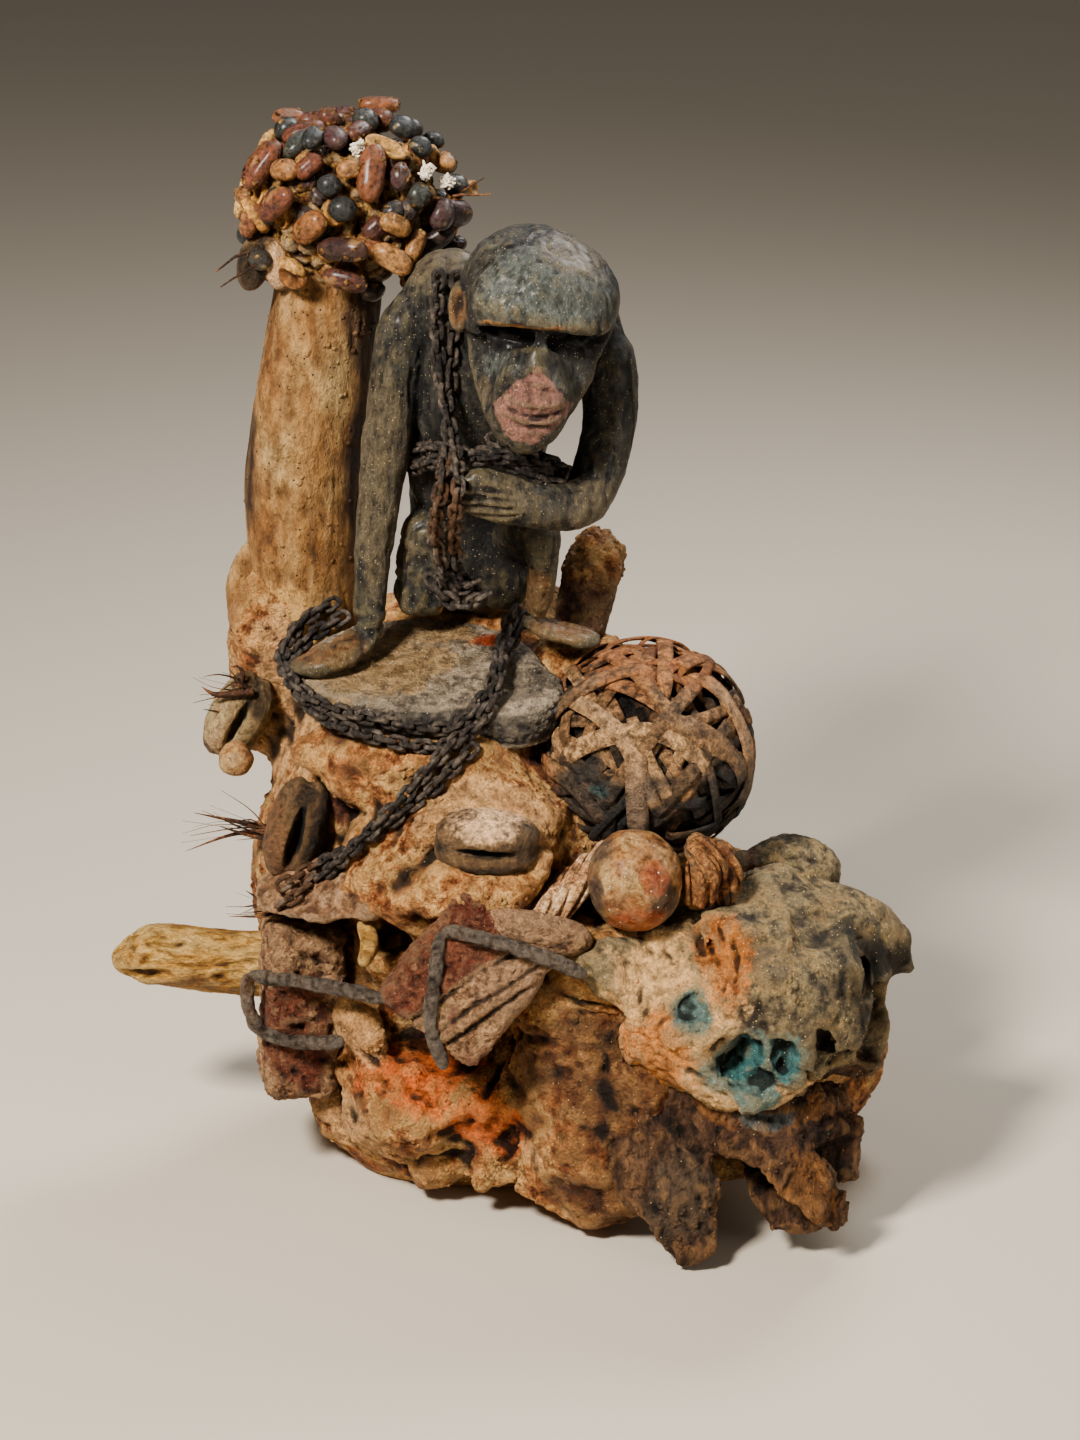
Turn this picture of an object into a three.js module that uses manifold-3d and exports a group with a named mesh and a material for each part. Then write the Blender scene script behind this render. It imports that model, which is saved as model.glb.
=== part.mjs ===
// Power figure: a carved wooden monkey sits chained on a mound of crusted earth, resin and bound
// offerings, beside a post that carries a cluster of seeds.
// Millimetres, +Z up. The figure faces -Y. The origin is on the flat underside, below the mound.

import * as THREE from 'three';
import { mergeVertices } from 'three/addons/utils/BufferGeometryUtils.js';
import Module from 'manifold-3d';

const wasm = await Module();
wasm.setup();

// Driving dimensions
const GAP = 0.45;                // clear space between pieces that touch
const POST_RADIUS = 37;          // the post at its widest
const CLUSTER_RADIUS = 49;       // the resin ball inside the seeds
const SEED_LENGTH = 27;
const SEED_THICK = 17.3;
const SEED_COUNT = 54;
const HEAD_WIDTH = 91;
const ARM_RADIUS = 14;
const SLAB_WIDTH = 158;
const SLAB_DEPTH = 114;
const SLAB_THICK = 26;
const SLAB_WOBBLE = 0.05;        // how uneven its rim is
const SLAB_TILT = 12;            // degrees, the front edge down
const BALL_RADIUS = 71;          // the plaited ball over its strips
const STRIP_WIDTH = 16;
const STRIP_THICK = 5;
const GOURD_RADIUS = 28;
const SKULL_WIDTH = 160;
const PACKET_LENGTH = 98;
const ROD_RADIUS = 4.4;
const ROD_LIFT = 3.5;            // from the surface to the middle of a rod
const ROD_SPOTS = 5;             // the places where a rod is laid on the surface
const LINK_WIDTH = 13;
const LINK_THICK = 5;
const LINK_PITCH = 13.6;
const LINK_LIFT = 5.8;           // from the surface to the middle of a link
const SETTLE_START = 60;         // how far in front of its route a chain starts to be pushed back
const SETTLE_REACH = 25;         // how far behind its route it may be pushed
const FLOOR_BLOCK = 1200;        // the block that trims the underside flat
const FINEST_STEP = 0.05;        // the first distance by which simplifying may move a surface
const COARSER = 1.5;             // how much that distance grows from round to round
const SQUARE_TO_ROUND = 1.25;    // radius of the ball that a worn block's corners are drawn towards
const RIM_TAPER = 0.09;          // how much narrower the slab's faces are than its middle
const FACE_TURN = 0.25;          // least cosine between a face before and after simplifying
const FACE_AREA = 0.02;          // least area of a face after simplifying, twice, in square millimetres
const SPREAD_LIMIT = 2.5;        // how far a corner may move when a piece swells, in gaps
const STEADYING = 0.02;          // keeps a swollen corner where it is along directions no face sets
const LINK_FILL = 0.32;          // half a link's length, as a share of the pitch

const COLOUR = {
  crust: 0xa9743f,
  postWood: 0xa97b45,
  resin: 0x9a6a38,
  carvedWood: 0x3c3a34,
  slabCrust: 0x6d6149,
  iron: 0x3a3836,
  strip: 0x86613f,
  gourd: 0x8f5a34,
  fibre: 0x9c5a30,
  stoneCrust: 0x6f6350,
  prongCrust: 0x8a6038,
  pod: 0x4a3b30,
  bone: 0xb0813f,
  packet: 0x5a3128,
  hide: 0x8f6038,
  feather: 0x4a3524,
};

const group = new THREE.Group();
const placed = [];

const ONE = new THREE.Vector3(1, 1, 1);
const VIEW_DROP = 0.384;         // radians below level from which the front is seen
const VIEW = new THREE.Vector3(0, Math.cos(VIEW_DROP), -Math.sin(VIEW_DROP));

const vec = (p) => new THREE.Vector3(p[0], p[1], p[2]);
const radians = THREE.MathUtils.degToRad;
const lerp = THREE.MathUtils.lerp;
const clamp = THREE.MathUtils.clamp;

function placing(at, turn) {
  const spin = new THREE.Quaternion().setFromEuler(new THREE.Euler(...turn.map(radians)));
  return new THREE.Matrix4().compose(vec(at), spin, ONE);
}

// A repeatable number from 0 to 1 for each cell of a lattice
function cellValue(ix, iy, iz) {
  const mixed = Math.sin(ix * 127.1 + iy * 311.7 + iz * 74.7) * 43758.5453;
  return mixed - Math.floor(mixed);
}

// Smooth noise from -1 to 1
function noise(x, y, z) {
  const cell = [Math.floor(x), Math.floor(y), Math.floor(z)];
  const part = [x - cell[0], y - cell[1], z - cell[2]].map((t) => t * t * (3 - 2 * t));
  let sum = 0;
  for (let corner = 0; corner < 8; corner += 1) {
    const step = [corner & 1, (corner >> 1) & 1, (corner >> 2) & 1];
    const weight = step.reduce((w, s, axis) => w * (s ? part[axis] : 1 - part[axis]), 1);
    sum += weight * cellValue(cell[0] + step[0], cell[1] + step[1], cell[2] + step[2]);
  }
  return 2 * sum - 1;
}

// Only the positions are kept, with shared corners merged
function bare(geometry) {
  const copy = geometry.clone();
  for (const name of ['normal', 'uv']) copy.deleteAttribute(name);
  return mergeVertices(copy);
}

function signedVolume(points, faces) {
  const corner = (i) => new THREE.Vector3().fromArray(points, faces[i] * 3);
  let volume = 0;
  for (let i = 0; i < faces.length; i += 3) {
    volume += corner(i).dot(corner(i + 1).cross(corner(i + 2))) / 6;
  }
  return volume;
}

function solidOf({ points, faces }) {
  return new wasm.Manifold(new wasm.Mesh({
    numProp: 3,
    vertProperties: new Float32Array(points),
    triVerts: new Uint32Array(faces),
  }));
}

// Moves each vertex of a bare geometry with a function, then makes a solid of it
function shaped(geometry, move = (p) => p) {
  const place = geometry.getAttribute('position');
  const points = [];
  for (let i = 0; i < place.count; i += 1) {
    points.push(...move(new THREE.Vector3().fromBufferAttribute(place, i)).toArray());
  }
  const faces = [...geometry.getIndex().array];
  if (signedVolume(points, faces) < 0) faces.reverse();
  return solidOf({ points, faces });
}

const BALLS = [0, 1, 2, 3, 4].map((detail) => bare(new THREE.IcosahedronGeometry(1, detail)));

// A rough ellipsoid: centre, half sizes, turn in degrees
function lump({ at, size, turn = [0, 0, 0], detail = 3, rough = 0.1, grain = 2, seed = 0 }) {
  const place = placing(at, turn);
  return shaped(BALLS[detail], (p) => {
    const swell = 1 + rough * noise(p.x * grain + seed, p.y * grain + 2 * seed, p.z * grain - seed);
    return p.multiply(vec(size)).multiplyScalar(swell).applyMatrix4(place);
  });
}

// A tapered limb with rounded ends along a smooth path; radii belong to the path's points
function limb({ path, radii, flat = 1, sides = 8, rings = 8, cap = 0.14, facing = [0, -1, 0],
  rough = 0, seed = 0 }) {
  const curve = new THREE.CatmullRomCurve3(path.map(vec));
  const front = vec(facing);
  return shaped(bare(new THREE.SphereGeometry(1, sides, rings)), (p) => {
    const share = Math.acos(clamp(p.y, -1, 1)) / Math.PI;
    const around = Math.atan2(p.z, p.x);
    const along = curve.getTangent(share);
    const side = new THREE.Vector3().crossVectors(along, front).normalize();
    const out = new THREE.Vector3().crossVectors(side, along);
    const spot = share * (radii.length - 1);
    const low = Math.min(Math.floor(spot), radii.length - 2);
    const fromEnd = Math.min(1, Math.min(share, 1 - share) / cap);
    const rounding = Math.sqrt(Math.max(0, 1 - (1 - fromEnd) ** 2));
    const bump = 1 + rough * noise(share * 9 + seed, around * 1.6, seed);
    const radius = lerp(radii[low], radii[low + 1], spot - low) * bump * rounding;
    return curve.getPoint(share)
      .addScaledVector(side, radius * Math.cos(around))
      .addScaledVector(out, radius * flat * Math.sin(around));
  });
}

// A worn block: its corners are drawn in by "soft"
function brick({ at, size, turn = [0, 0, 0], soft = 0.22, cuts = 3, rough = 0.04, seed = 0 }) {
  const place = placing(at, turn);
  return shaped(bare(new THREE.BoxGeometry(2, 2, 2, cuts, cuts, cuts)), (p) => {
    const round = p.clone().normalize().multiplyScalar(SQUARE_TO_ROUND);
    const bump = 1 + rough * noise(p.x * 2 + seed, p.y * 2, p.z * 2 - seed);
    return p.lerp(round, soft).multiply(vec(size)).multiplyScalar(bump).applyMatrix4(place);
  });
}

const join = (...solids) => solids.reduce((sum, solid) => sum.add(solid));
const lumps = (list) => join(...list.map(lump));
const limbs = (list) => join(...list.map(limb));
const carve = (solid, list) => list.reduce((left, item) => left.subtract(lump(item)), solid);

const aboveFloor = shaped(
  bare(new THREE.BoxGeometry(FLOOR_BLOCK, FLOOR_BLOCK, FLOOR_BLOCK)),
  (p) => p.setZ(p.z + FLOOR_BLOCK / 2),
);

// The mound: earth, resin and offerings grown into one crust
const MOUND_LUMPS = [
  { at: [-18, -4, 46], size: [160, 108, 92], detail: 4, rough: 0.13, seed: 1 },
  { at: [-108, 15, 170], size: [97, 90, 146], rough: 0.1, seed: 2 },
  { at: [-70, 62, 318], size: [72, 44, 30], detail: 2, rough: 0.06, seed: 3 },
  { at: [-188, 56, 300], size: [40, 40, 76], detail: 2, rough: 0.18, seed: 4 },
  { at: [-166, 16, 156], size: [42, 58, 122], rough: 0.12, seed: 5 },
  { at: [-80, -68, 205], size: [76, 62, 78], rough: 0.12, seed: 6 },
  { at: [30, -20, 122], size: [105, 92, 86], rough: 0.1, seed: 7 },
  { at: [2, -110, 120], size: [60, 52, 84], rough: 0.18, seed: 8 },
  { at: [0, -112, 36], size: [50, 46, 46], detail: 2, rough: 0.2, seed: 9 },
  { at: [106, -28, 70], size: [70, 74, 82], rough: 0.14, seed: 10 },
  { at: [-60, 66, 150], size: [112, 56, 132], rough: 0.12, seed: 11 },
  { at: [-12, 4, 264], size: [46, 46, 74], detail: 2, rough: 0.1, seed: 12 },
];
const LEDGE_LUMPS = [
  { at: [-86, -66, 66], size: [80, 56, 40], rough: 0.2, seed: 13 },
  { at: [-148, -84, 118], size: [15, 15, 26], detail: 1, rough: 0.14, seed: 14 },
];
// Drops of resin under the ledge: x, y, z, radius
const DROPS = [
  [-158, -44, 42, 14],
  [-142, -56, 26, 13],
  [-96, -94, 26, 15],
  [-60, -114, 34, 13],
  [-28, -126, 30, 14],
];
const DROP_STRETCH = 1.3;
const MOUND_HOLES = [
  { at: [-136, -96, 186], size: [34, 34, 22], turn: [0, 25, 0], detail: 2 },
  { at: [-126, -112, 100], size: [18, 32, 15], detail: 1 },
  { at: [5, -164, 172], size: [15, 20, 13], detail: 1 },
  { at: [-42, -130, 4], size: [40, 34, 15], detail: 1 },
];

function mound() {
  const drops = DROPS.map(([x, y, z, r], seed) => (
    { at: [x, y, z], size: [r, r, DROP_STRETCH * r], detail: 1, seed }));
  return carve(lumps([...MOUND_LUMPS, ...LEDGE_LUMPS, ...drops]), MOUND_HOLES)
    .intersect(aboveFloor);
}

// The post: a thick length of worn wood that leans a little
function post() {
  return limb({
    path: [[-176, 58, 262], [-178, 60, 339], [-179, 60, 418], [-170, 60, 482], [-156, 60, 566]],
    radii: [34, 34, POST_RADIUS, POST_RADIUS - 2, 31],
    sides: 12, rings: 8, cap: 0.06, rough: 0.05, seed: 3,
  });
}

// Bark that has lifted from the post's foot
function bark() {
  return limb({ path: [[-194, 34, 270], [-208, 42, 310], [-220, 52, 350], [-213, 58, 380]],
    radii: [10, 14, 10, 5], flat: 0.6, sides: 6, rings: 6, rough: 0.2, seed: 5 });
}

// The cluster: seeds set round a ball of resin, spaced by the golden angle
const CLUSTER_AT = [-146, 60, 590];
const CLUSTER_SIZE = [CLUSTER_RADIUS + 6, CLUSTER_RADIUS, CLUSTER_RADIUS - 2];
const SEED_STANDS = 2;           // how far a seed's middle stands out of the resin
const GOLDEN_ANGLE = Math.PI * (3 - Math.sqrt(5));

function seedDirection(index) {
  const rise = 1 - 2 * (index + 0.5) / SEED_COUNT;
  const level = Math.sqrt(1 - rise * rise);
  const around = index * GOLDEN_ANGLE;
  return new THREE.Vector3(Math.cos(around) * level, Math.sin(around) * level, rise);
}

function seed(index) {
  const out = seedDirection(index);
  const spot = out.clone().multiply(vec(CLUSTER_SIZE)).addScaledVector(out, SEED_STANDS);
  const lie = new THREE.Quaternion().setFromUnitVectors(new THREE.Vector3(0, 0, 1), out);
  const place = new THREE.Matrix4().compose(spot.add(vec(CLUSTER_AT)), lie, ONE)
    .multiply(new THREE.Matrix4().makeRotationZ(index * 2.4));
  const isRound = index % 3 === 1;
  const half = vec([isRound ? SEED_THICK / 2 : SEED_LENGTH / 2, SEED_THICK / 2, SEED_THICK / 2]);
  return shaped(BALLS[0], (p) => p.multiply(half).applyMatrix4(place));
}

function seedCluster() {
  const core = lump({ at: CLUSTER_AT, size: CLUSTER_SIZE, detail: 2 });
  return join(core, ...[...Array(SEED_COUNT).keys()].map(seed));
}

// A dry pod, half open, that hangs from the cluster
const HANGING_POD = [
  { at: [-204, 40, 562], size: [10, 10, 18], turn: [0, 14, 0], detail: 1, rough: 0.05 },
  { at: [-192, 38, 562], size: [9, 10, 17], turn: [0, -16, 0], detail: 1, rough: 0.05 },
];

// The slab under the figure: a flat cake of crust with a broken rim, tilted to the front
function slab() {
  const place = placing([-105, -22, 316], [SLAB_TILT, 0, 0]);
  const cake = shaped(bare(new THREE.CylinderGeometry(1, 1, 2, 20, 2)), (p) => {
    const wobble = (1 + SLAB_WOBBLE * noise(p.x * 2 + 4, p.z * 2, 3))
      * (1 - RIM_TAPER * Math.abs(p.y));
    return new THREE.Vector3(
      p.x * SLAB_WIDTH / 2 * wobble,
      p.z * SLAB_DEPTH / 2 * wobble,
      p.y * SLAB_THICK / 2,
    ).applyMatrix4(place);
  });
  return cake.add(lump({ at: [-46, -46, 314], size: [28, 31, 23], detail: 2, rough: 0.12, seed: 31 }));
}

// The broken stump behind the figure's foot
function stump() {
  return join(
    limb({ path: [[-16, 6, 300], [-8, 12, 336], [0, 22, 372], [4, 26, 386]],
      radii: [15, 16, 18, 13], sides: 8, rings: 6, cap: 0.1, rough: 0.16, seed: 9 }),
    lump({ at: [9, 22, 380], size: [10, 11, 12], detail: 1, rough: 0.2, seed: 2 }),
  );
}

// The figure: one carved block of wood
const HEAD_AT = [-32, -42, 561];
const FIGURE_LUMPS = [
  { at: [-72, 42, 374], size: [43, 35, 35], rough: 0.04, detail: 2, seed: 41 },
  { at: [-54, 12, 376], size: [19, 19, 25], rough: 0.02, detail: 2, seed: 42 },
  { at: [-84, 10, 552], size: [28, 25, 26], rough: 0.03, detail: 2, seed: 43 },
  { at: [-8, 2, 534], size: [24, 23, 27], rough: 0.03, detail: 2, seed: 44 },
  { at: [-48, 14, 530], size: [54, 35, 35], rough: 0.03, detail: 2, seed: 45 },
];
const FIGURE_LIMBS = [
  // Trunk
  { path: [[-72, 40, 366], [-68, 32, 420], [-58, 16, 476], [-50, 6, 530]],
    radii: [34, 33, 38, 40], flat: 0.85, sides: 10, rings: 6 },
  // Right arm, down to the slab
  { path: [[-92, 8, 556], [-114, 5, 529], [-121, 3, 487], [-126, 0, 450], [-131, -6, 412],
    [-134, -12, 377], [-139, -20, 350]],
    radii: [16, ARM_RADIUS + 1, ARM_RADIUS + 1, ARM_RADIUS, 13, 11, 11], sides: 8, rings: 10 },
  // Right hand
  { path: [[-134, -16, 352], [-146, -26, 342], [-162, -31, 340], [-172, -34, 336]],
    radii: [11, 11, 9.5, 5], flat: 1.1, sides: 7, rings: 5, facing: [0, 0, 1] },
  // Left arm, bent across the chest
  { path: [[0, 0, 536], [9, -10, 506], [7, -24, 470], [-5, -44, 442], [-22, -58, 440],
    [-46, -68, 446], [-62, -72, 452]],
    radii: [16, 17, 16, 16, 15, ARM_RADIUS, ARM_RADIUS], sides: 8, rings: 11 },
  // Left hand
  { path: [[-58, -72, 453], [-72, -74, 455], [-86, -72, 453]],
    radii: [ARM_RADIUS, ARM_RADIUS, 8], flat: 0.6, sides: 7, rings: 4 },
  // Right leg, folded
  { path: [[-88, 40, 366], [-98, 18, 396], [-102, 2, 404], [-106, 6, 378], [-106, 10, 352]],
    radii: [18, 17, 15, 14, 15], sides: 7, rings: 7 },
  // Left leg
  { path: [[-56, 34, 372], [-42, -6, 408], [-32, -34, 416], [-32, -28, 388], [-33, -20, 360]],
    radii: [18, 16, 13, 9.5, 10], sides: 7, rings: 8 },
  // Left foot
  { path: [[-40, -16, 353], [-24, -20, 350], [-4, -26, 344]],
    radii: [11, 9, 6], flat: 1.4, sides: 7, rings: 5, facing: [0, 0, 1] },
];

// A domed head with a straight brow, sunk eyes and a face that narrows to the chin
function head() {
  const half = HEAD_WIDTH / 2;
  const [x, y, z] = HEAD_AT;
  const jaw = limb({
    path: [[x, y - 6, z - 8], [x - 1, y - 16, z - 30], [x - 2, y - 22, z - 50],
      [x - 3, y - 28, z - 70]],
    radii: [half * 0.9, half * 0.83, half * 0.6, half * 0.24],
    flat: 0.74, sides: 10, rings: 7, cap: 0.18,
  });
  const brow = limb({
    path: [[x - 38, y - 30, z - 2], [x - 18, y - 43, z - 4], [x + 4, y - 45, z - 6],
      [x + 36, y - 26, z - 12]],
    radii: [6, 6, 6, 6], flat: 0.9, sides: 6, rings: 6,
  });
  const sockets = [-1, 1].map((side) => ({
    at: [x + 19 * side, y - 44 + 3 * side, z - 17 - 2 * side],
    size: [17, 10, 8],
    detail: 1,
    rough: 0,
  }));
  const dome = lump({ at: HEAD_AT, size: [half, half + 2, half - 5], rough: 0.015 });
  const skin = carve(join(dome, jaw), sockets);
  const muzzle = {
    at: [x - 2, y - 43, z - 45], size: [17, 11, 20], turn: [-14, 0, 0], detail: 1, rough: 0,
  };
  const nose = { at: [x - 1, y - 48, z - 24], size: [5, 8, 13], detail: 1, rough: 0 };
  const ear = {
    at: [x - 45, y + 2, z - 2], size: [7, 9, 15], turn: [0, 0, 25], detail: 1, rough: 0,
  };
  return join(skin, lumps([muzzle, nose, ear]), brow);
}

const figure = () => join(lumps(FIGURE_LUMPS), limbs(FIGURE_LIMBS), head());

// A ball wound from flat strips that cross one another
const BALL_AT = [32, -36, 276];
const LAYER_STEP = 0.7;          // each strip lies this much over the one before
const STRIP_TURNS = [[12, 8, 0], [66, 24, 10], [122, -18, 40], [80, 74, 0], [30, 60, 20]];

function plaitedBall() {
  const inner = BALL_RADIUS - 3 * STRIP_THICK;
  const half = STRIP_WIDTH / 2;
  const core = lump({ at: BALL_AT, size: Array(3).fill(BALL_RADIUS - STRIP_THICK), rough: 0.02 });
  const strips = STRIP_TURNS.map((turn, layer) => {
    const outer = BALL_RADIUS + LAYER_STEP * (layer - 2);
    const corners = [[inner, -half], [outer, -half], [outer, half], [inner, half], [inner, -half]];
    const profile = corners.map(([r, h]) => new THREE.Vector2(r, h));
    const place = placing(BALL_AT, turn);
    return shaped(bare(new THREE.LatheGeometry(profile, 16)), (p) => p.applyMatrix4(place));
  });
  return join(core, ...strips);
}

// The knot and the strands of fibre that hold the ball and the gourd
const KNOT_LIMBS = [
  { path: [[60, -120, 212], [66, -124, 236], [60, -112, 252]], radii: [11, 13, 9], flat: 0.8,
    sides: 7, rings: 5, rough: 0.08, seed: 62 },
  { path: [[76, -116, 210], [79, -116, 230], [72, -104, 246]], radii: [8, 9, 7],
    sides: 6, rings: 5, rough: 0.08, seed: 63 },
];
const STRAND_LIMBS = [0, 1, 2].map((i) => ({
  path: [[10 - 11 * i, -92 - 6 * i, 240 - 6 * i], [-10 - 11 * i, -122 - 4 * i, 222 - 6 * i],
    [-30 - 9 * i, -128, 196 - 4 * i]],
  radii: [7, 9, 6], sides: 5, rings: 4,
}));

// The lump behind the skull
const BACK_LUMPS = [
  { at: [124, -26, 188], size: [31, 28, 24], detail: 2, seed: 64 },
  { at: [96, -30, 192], size: [11, 13, 14], detail: 1, rough: 0.2, seed: 65 },
];

// The crusted skull at the right, with its open sockets and beak
const SKULL_AT = [104, -108, 152];
const SKULL_HOLES = [
  { at: [84, -184, 141], size: [13, 20, 18], detail: 1 },
  { at: [107, -184, 146], size: [10, 14, 12], detail: 1 },
  { at: [56, -176, 170], size: [9, 14, 8], detail: 1 },
  { at: [136, -170, 143], size: [10, 18, 14], detail: 1 },
  { at: [180, -134, 136], size: [24, 26, 24], detail: 1 },
];

function skull() {
  const half = SKULL_WIDTH / 2;
  const [x, y, z] = SKULL_AT;
  const body = lumps([
    { at: [x + 2, y, z + 4], size: [half - 8, 72, 58], turn: [0, 8, 0], detail: 4, rough: 0.08, seed: 71 },
    { at: [x - 48, y - 22, z - 2], size: [42, 46, 44], turn: [0, -20, 0], rough: 0.12, seed: 72 },
    { at: [x - 12, y - 46, z - 24], size: [44, 32, 30], rough: 0.14, detail: 2, seed: 73 },
    { at: [x + 52, y + 10, z - 30], size: [26, 44, 30], rough: 0.18, detail: 2, seed: 74 },
  ]);
  const beak = limb({ path: [[x + 40, y + 14, z + 34], [x + 66, y + 22, z + 20], [x + 87, y + 27, z - 4]],
    radii: [28, 22, 5], flat: 1.2, sides: 8, rings: 6, rough: 0.06, seed: 75 });
  return carve(join(body, beak), SKULL_HOLES);
}

// The jaw below the skull ends in blunt prongs
const JAW_LIMBS = [
  { path: [[30, -130, 96], [70, -160, 92], [112, -162, 90], [150, -128, 78]],
    radii: [16, 20, 20, 18], flat: 0.9, sides: 7, rings: 7, rough: 0.14, seed: 81 },
  { path: [[34, -150, 96], [40, -162, 62], [50, -178, 34], [58, -186, 7]],
    radii: [27, 25, 20, 8], flat: 0.7, sides: 8, rings: 6, rough: 0.12, seed: 82 },
  { path: [[100, -158, 84], [112, -172, 52], [122, -184, 26], [132, -190, 7]],
    radii: [26, 26, 22, 9], flat: 0.55, sides: 8, rings: 6, rough: 0.12, seed: 83 },
  { path: [[130, -132, 84], [143, -150, 58], [151, -160, 36]],
    radii: [24, 19, 8], flat: 0.7, sides: 8, rings: 5, rough: 0.12, seed: 84 },
];

// A split seed pod: two lips with a slit between them
function splitPod({ at, size, turn, slit, seed }) {
  const place = placing(at, turn);
  const cut = shaped(BALLS[1], (p) => {
    p.multiply(vec([slit.length / 2, size[1], slit.width / 2]));
    return p.setY(p.y - size[1]).applyMatrix4(place);
  });
  return lump({ at, size, turn, detail: 2, rough: 0.04, seed }).subtract(cut);
}

// The pods on the slope, and the shell with the small ball at the left
const FRONT_POD = {
  at: [-64, -122, 253], size: [31, 20, 19], turn: [0, 4, 0],
  slit: { length: 50, width: 5 }, seed: 91,
};
const SIDE_POD = {
  at: [-181, -50, 230], size: [33, 19, 18], turn: [0, -74, 0],
  slit: { length: 52, width: 7 }, seed: 92,
};
const SHELL = {
  at: [-220, 16, 278], size: [29, 19, 18], turn: [0, -62, 0],
  slit: { length: 44, width: 6 }, seed: 93,
};
const SMALL_BALL = { at: [-221, -6, 258], size: [11, 11, 11], detail: 1, rough: 0.03 };

// The gourd in front of the ball
const GOURD = {
  at: [24, -126, 230], size: [GOURD_RADIUS, GOURD_RADIUS, GOURD_RADIUS * 1.1], rough: 0.03,
};

// The stub of bone or root that sticks out at the left
const BONE_STUB = {
  path: [[-196, -14, 120], [-236, -16, 124], [-276, -18, 130], [-299, -18, 126]],
  radii: [21, 20, 19, 7], sides: 9, rings: 7, cap: 0.12, rough: 0.14, seed: 95,
};

// Two wrapped packets, the iron rods that bind them, and the bar on the front one
const FRONT_PACKET = {
  at: [-74, -143, 177], size: [PACKET_LENGTH * 0.37, 27, PACKET_LENGTH * 0.43],
  turn: [-18, 38, 0], seed: 96,
};
const SIDE_PACKET = {
  at: [-181, -58, 116], size: [23, 24, 58], turn: [0, 3, 12], rough: 0.08, seed: 97,
};
const PACKET_BAR = {
  path: [[-86, -142, 212], [-40, -152, 210], [-6, -146, 200]],
  radii: [10, 12, 11], flat: 0.8, sides: 7, rings: 6, rough: 0.08, seed: 98,
};
const FRONT_RODS = [
  [[-90, -160, 214], [-62, -166, 210], [-30, -168, 200], [-4, -164, 186]],
  [[-90, -160, 214], [-94, -170, 186], [-96, -176, 160], [-88, -172, 128]],
];
const SIDE_RODS = [
  [[-212, -74, 142], [-186, -88, 146], [-150, -110, 150], [-122, -128, 152]],
  [[-212, -74, 142], [-212, -78, 124], [-206, -80, 106]],
  [[-206, -80, 106], [-180, -90, 104], [-152, -100, 110]],
];

// The flap of hide over the hollow, and the small peg of bone under it
const HIDE_FLAP = {
  path: [[-196, -58, 196], [-160, -84, 206], [-124, -104, 220], [-84, -112, 236]],
  radii: [22, 26, 24, 14], flat: 0.28, facing: [0.2, -0.6, 0.8],
  sides: 8, rings: 7, rough: 0.1, seed: 99,
};
const BONE_PEG = {
  path: [[-138, -112, 196], [-134, -120, 186], [-138, -124, 174]],
  radii: [5, 6, 4], sides: 6, rings: 4,
};

// Tufts of quills, flat and pointed, each from one root
const TUFTS = {
  feather_tuft_high: [[-214, 6, 300], [-238, 0, 306], [-244, 4, 296], [-226, -10, 318]],
  feather_tuft_middle: [[-196, -30, 218], [-244, -30, 228], [-252, -34, 214], [-232, -28, 232]],
  feather_tuft_low: [[-188, -56, 184], [-222, -60, 186], [-214, -58, 176], [-206, -60, 192]],
};

const tuft = ([root, ...tips]) => limbs(tips.map((tip) => ({
  path: [root, root.map((v, axis) => lerp(v, tip[axis], 0.5) + (axis === 2 ? 2 : 0)), tip],
  radii: [6, 4.5, 1.2], flat: 0.5, sides: 5, rings: 4,
})));

// Evenly spaced spots along a route, each pushed back until it lies on what carries it
function settled(route, count, lift) {
  const curve = new THREE.CatmullRomCurve3(route.map(vec));
  const carriers = placed.map((piece) => piece.mesh);
  const ray = new THREE.Raycaster();
  return [...Array(count).keys()].map((i) => {
    const spot = curve.getPointAt(i / (count - 1));
    ray.set(spot.clone().addScaledVector(VIEW, -SETTLE_START), VIEW);
    const hit = ray.intersectObjects(carriers)[0];
    if (hit && hit.distance < SETTLE_START + SETTLE_REACH) {
      spot.copy(hit.point).addScaledVector(VIEW, -lift);
    }
    return spot;
  });
}

// A chain as one strand: flat links, each turned a quarter from the one before
function chain(route) {
  const length = new THREE.CatmullRomCurve3(route.map(vec)).getLength();
  const spots = settled(route, Math.round(length / LINK_PITCH), LINK_LIFT);
  const rings = 2 * spots.length + 1;
  return shaped(bare(new THREE.SphereGeometry(1, 4, rings)), (p) => {
    const ring = Math.round(Math.acos(clamp(p.y, -1, 1)) / Math.PI * rings);
    const isPole = ring === 0 || ring === rings;
    const link = clamp(Math.floor((ring - 1) / 2), 0, spots.length - 1);
    const along = spots[Math.min(link + 1, spots.length - 1)].clone()
      .sub(spots[Math.max(link - 1, 0)]).normalize();
    const level = new THREE.Vector3().crossVectors(along, VIEW).normalize();
    const upright = new THREE.Vector3().crossVectors(level, along);
    const side = level.clone().add(upright).normalize();
    const out = upright.clone().sub(level).normalize();
    const corner = (Math.round(Math.atan2(p.z, p.x) / (Math.PI / 2)) + 4) % 4;
    const [across, deep] = link % 2 ? [LINK_THICK, LINK_WIDTH] : [LINK_WIDTH, LINK_THICK];
    const spread = isPole ? 0 : 0.5;
    const ahead = ring === rings || (!isPole && ring % 2 === 0) ? 1 : -1;
    return spots[link].clone()
      .addScaledVector(along, ahead * LINK_PITCH * (isPole ? 0.5 : LINK_FILL))
      .addScaledVector(side, spread * across * (corner === 0 || corner === 3 ? 1 : -1))
      .addScaledVector(out, spread * deep * (corner < 2 ? 1 : -1));
  });
}

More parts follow.
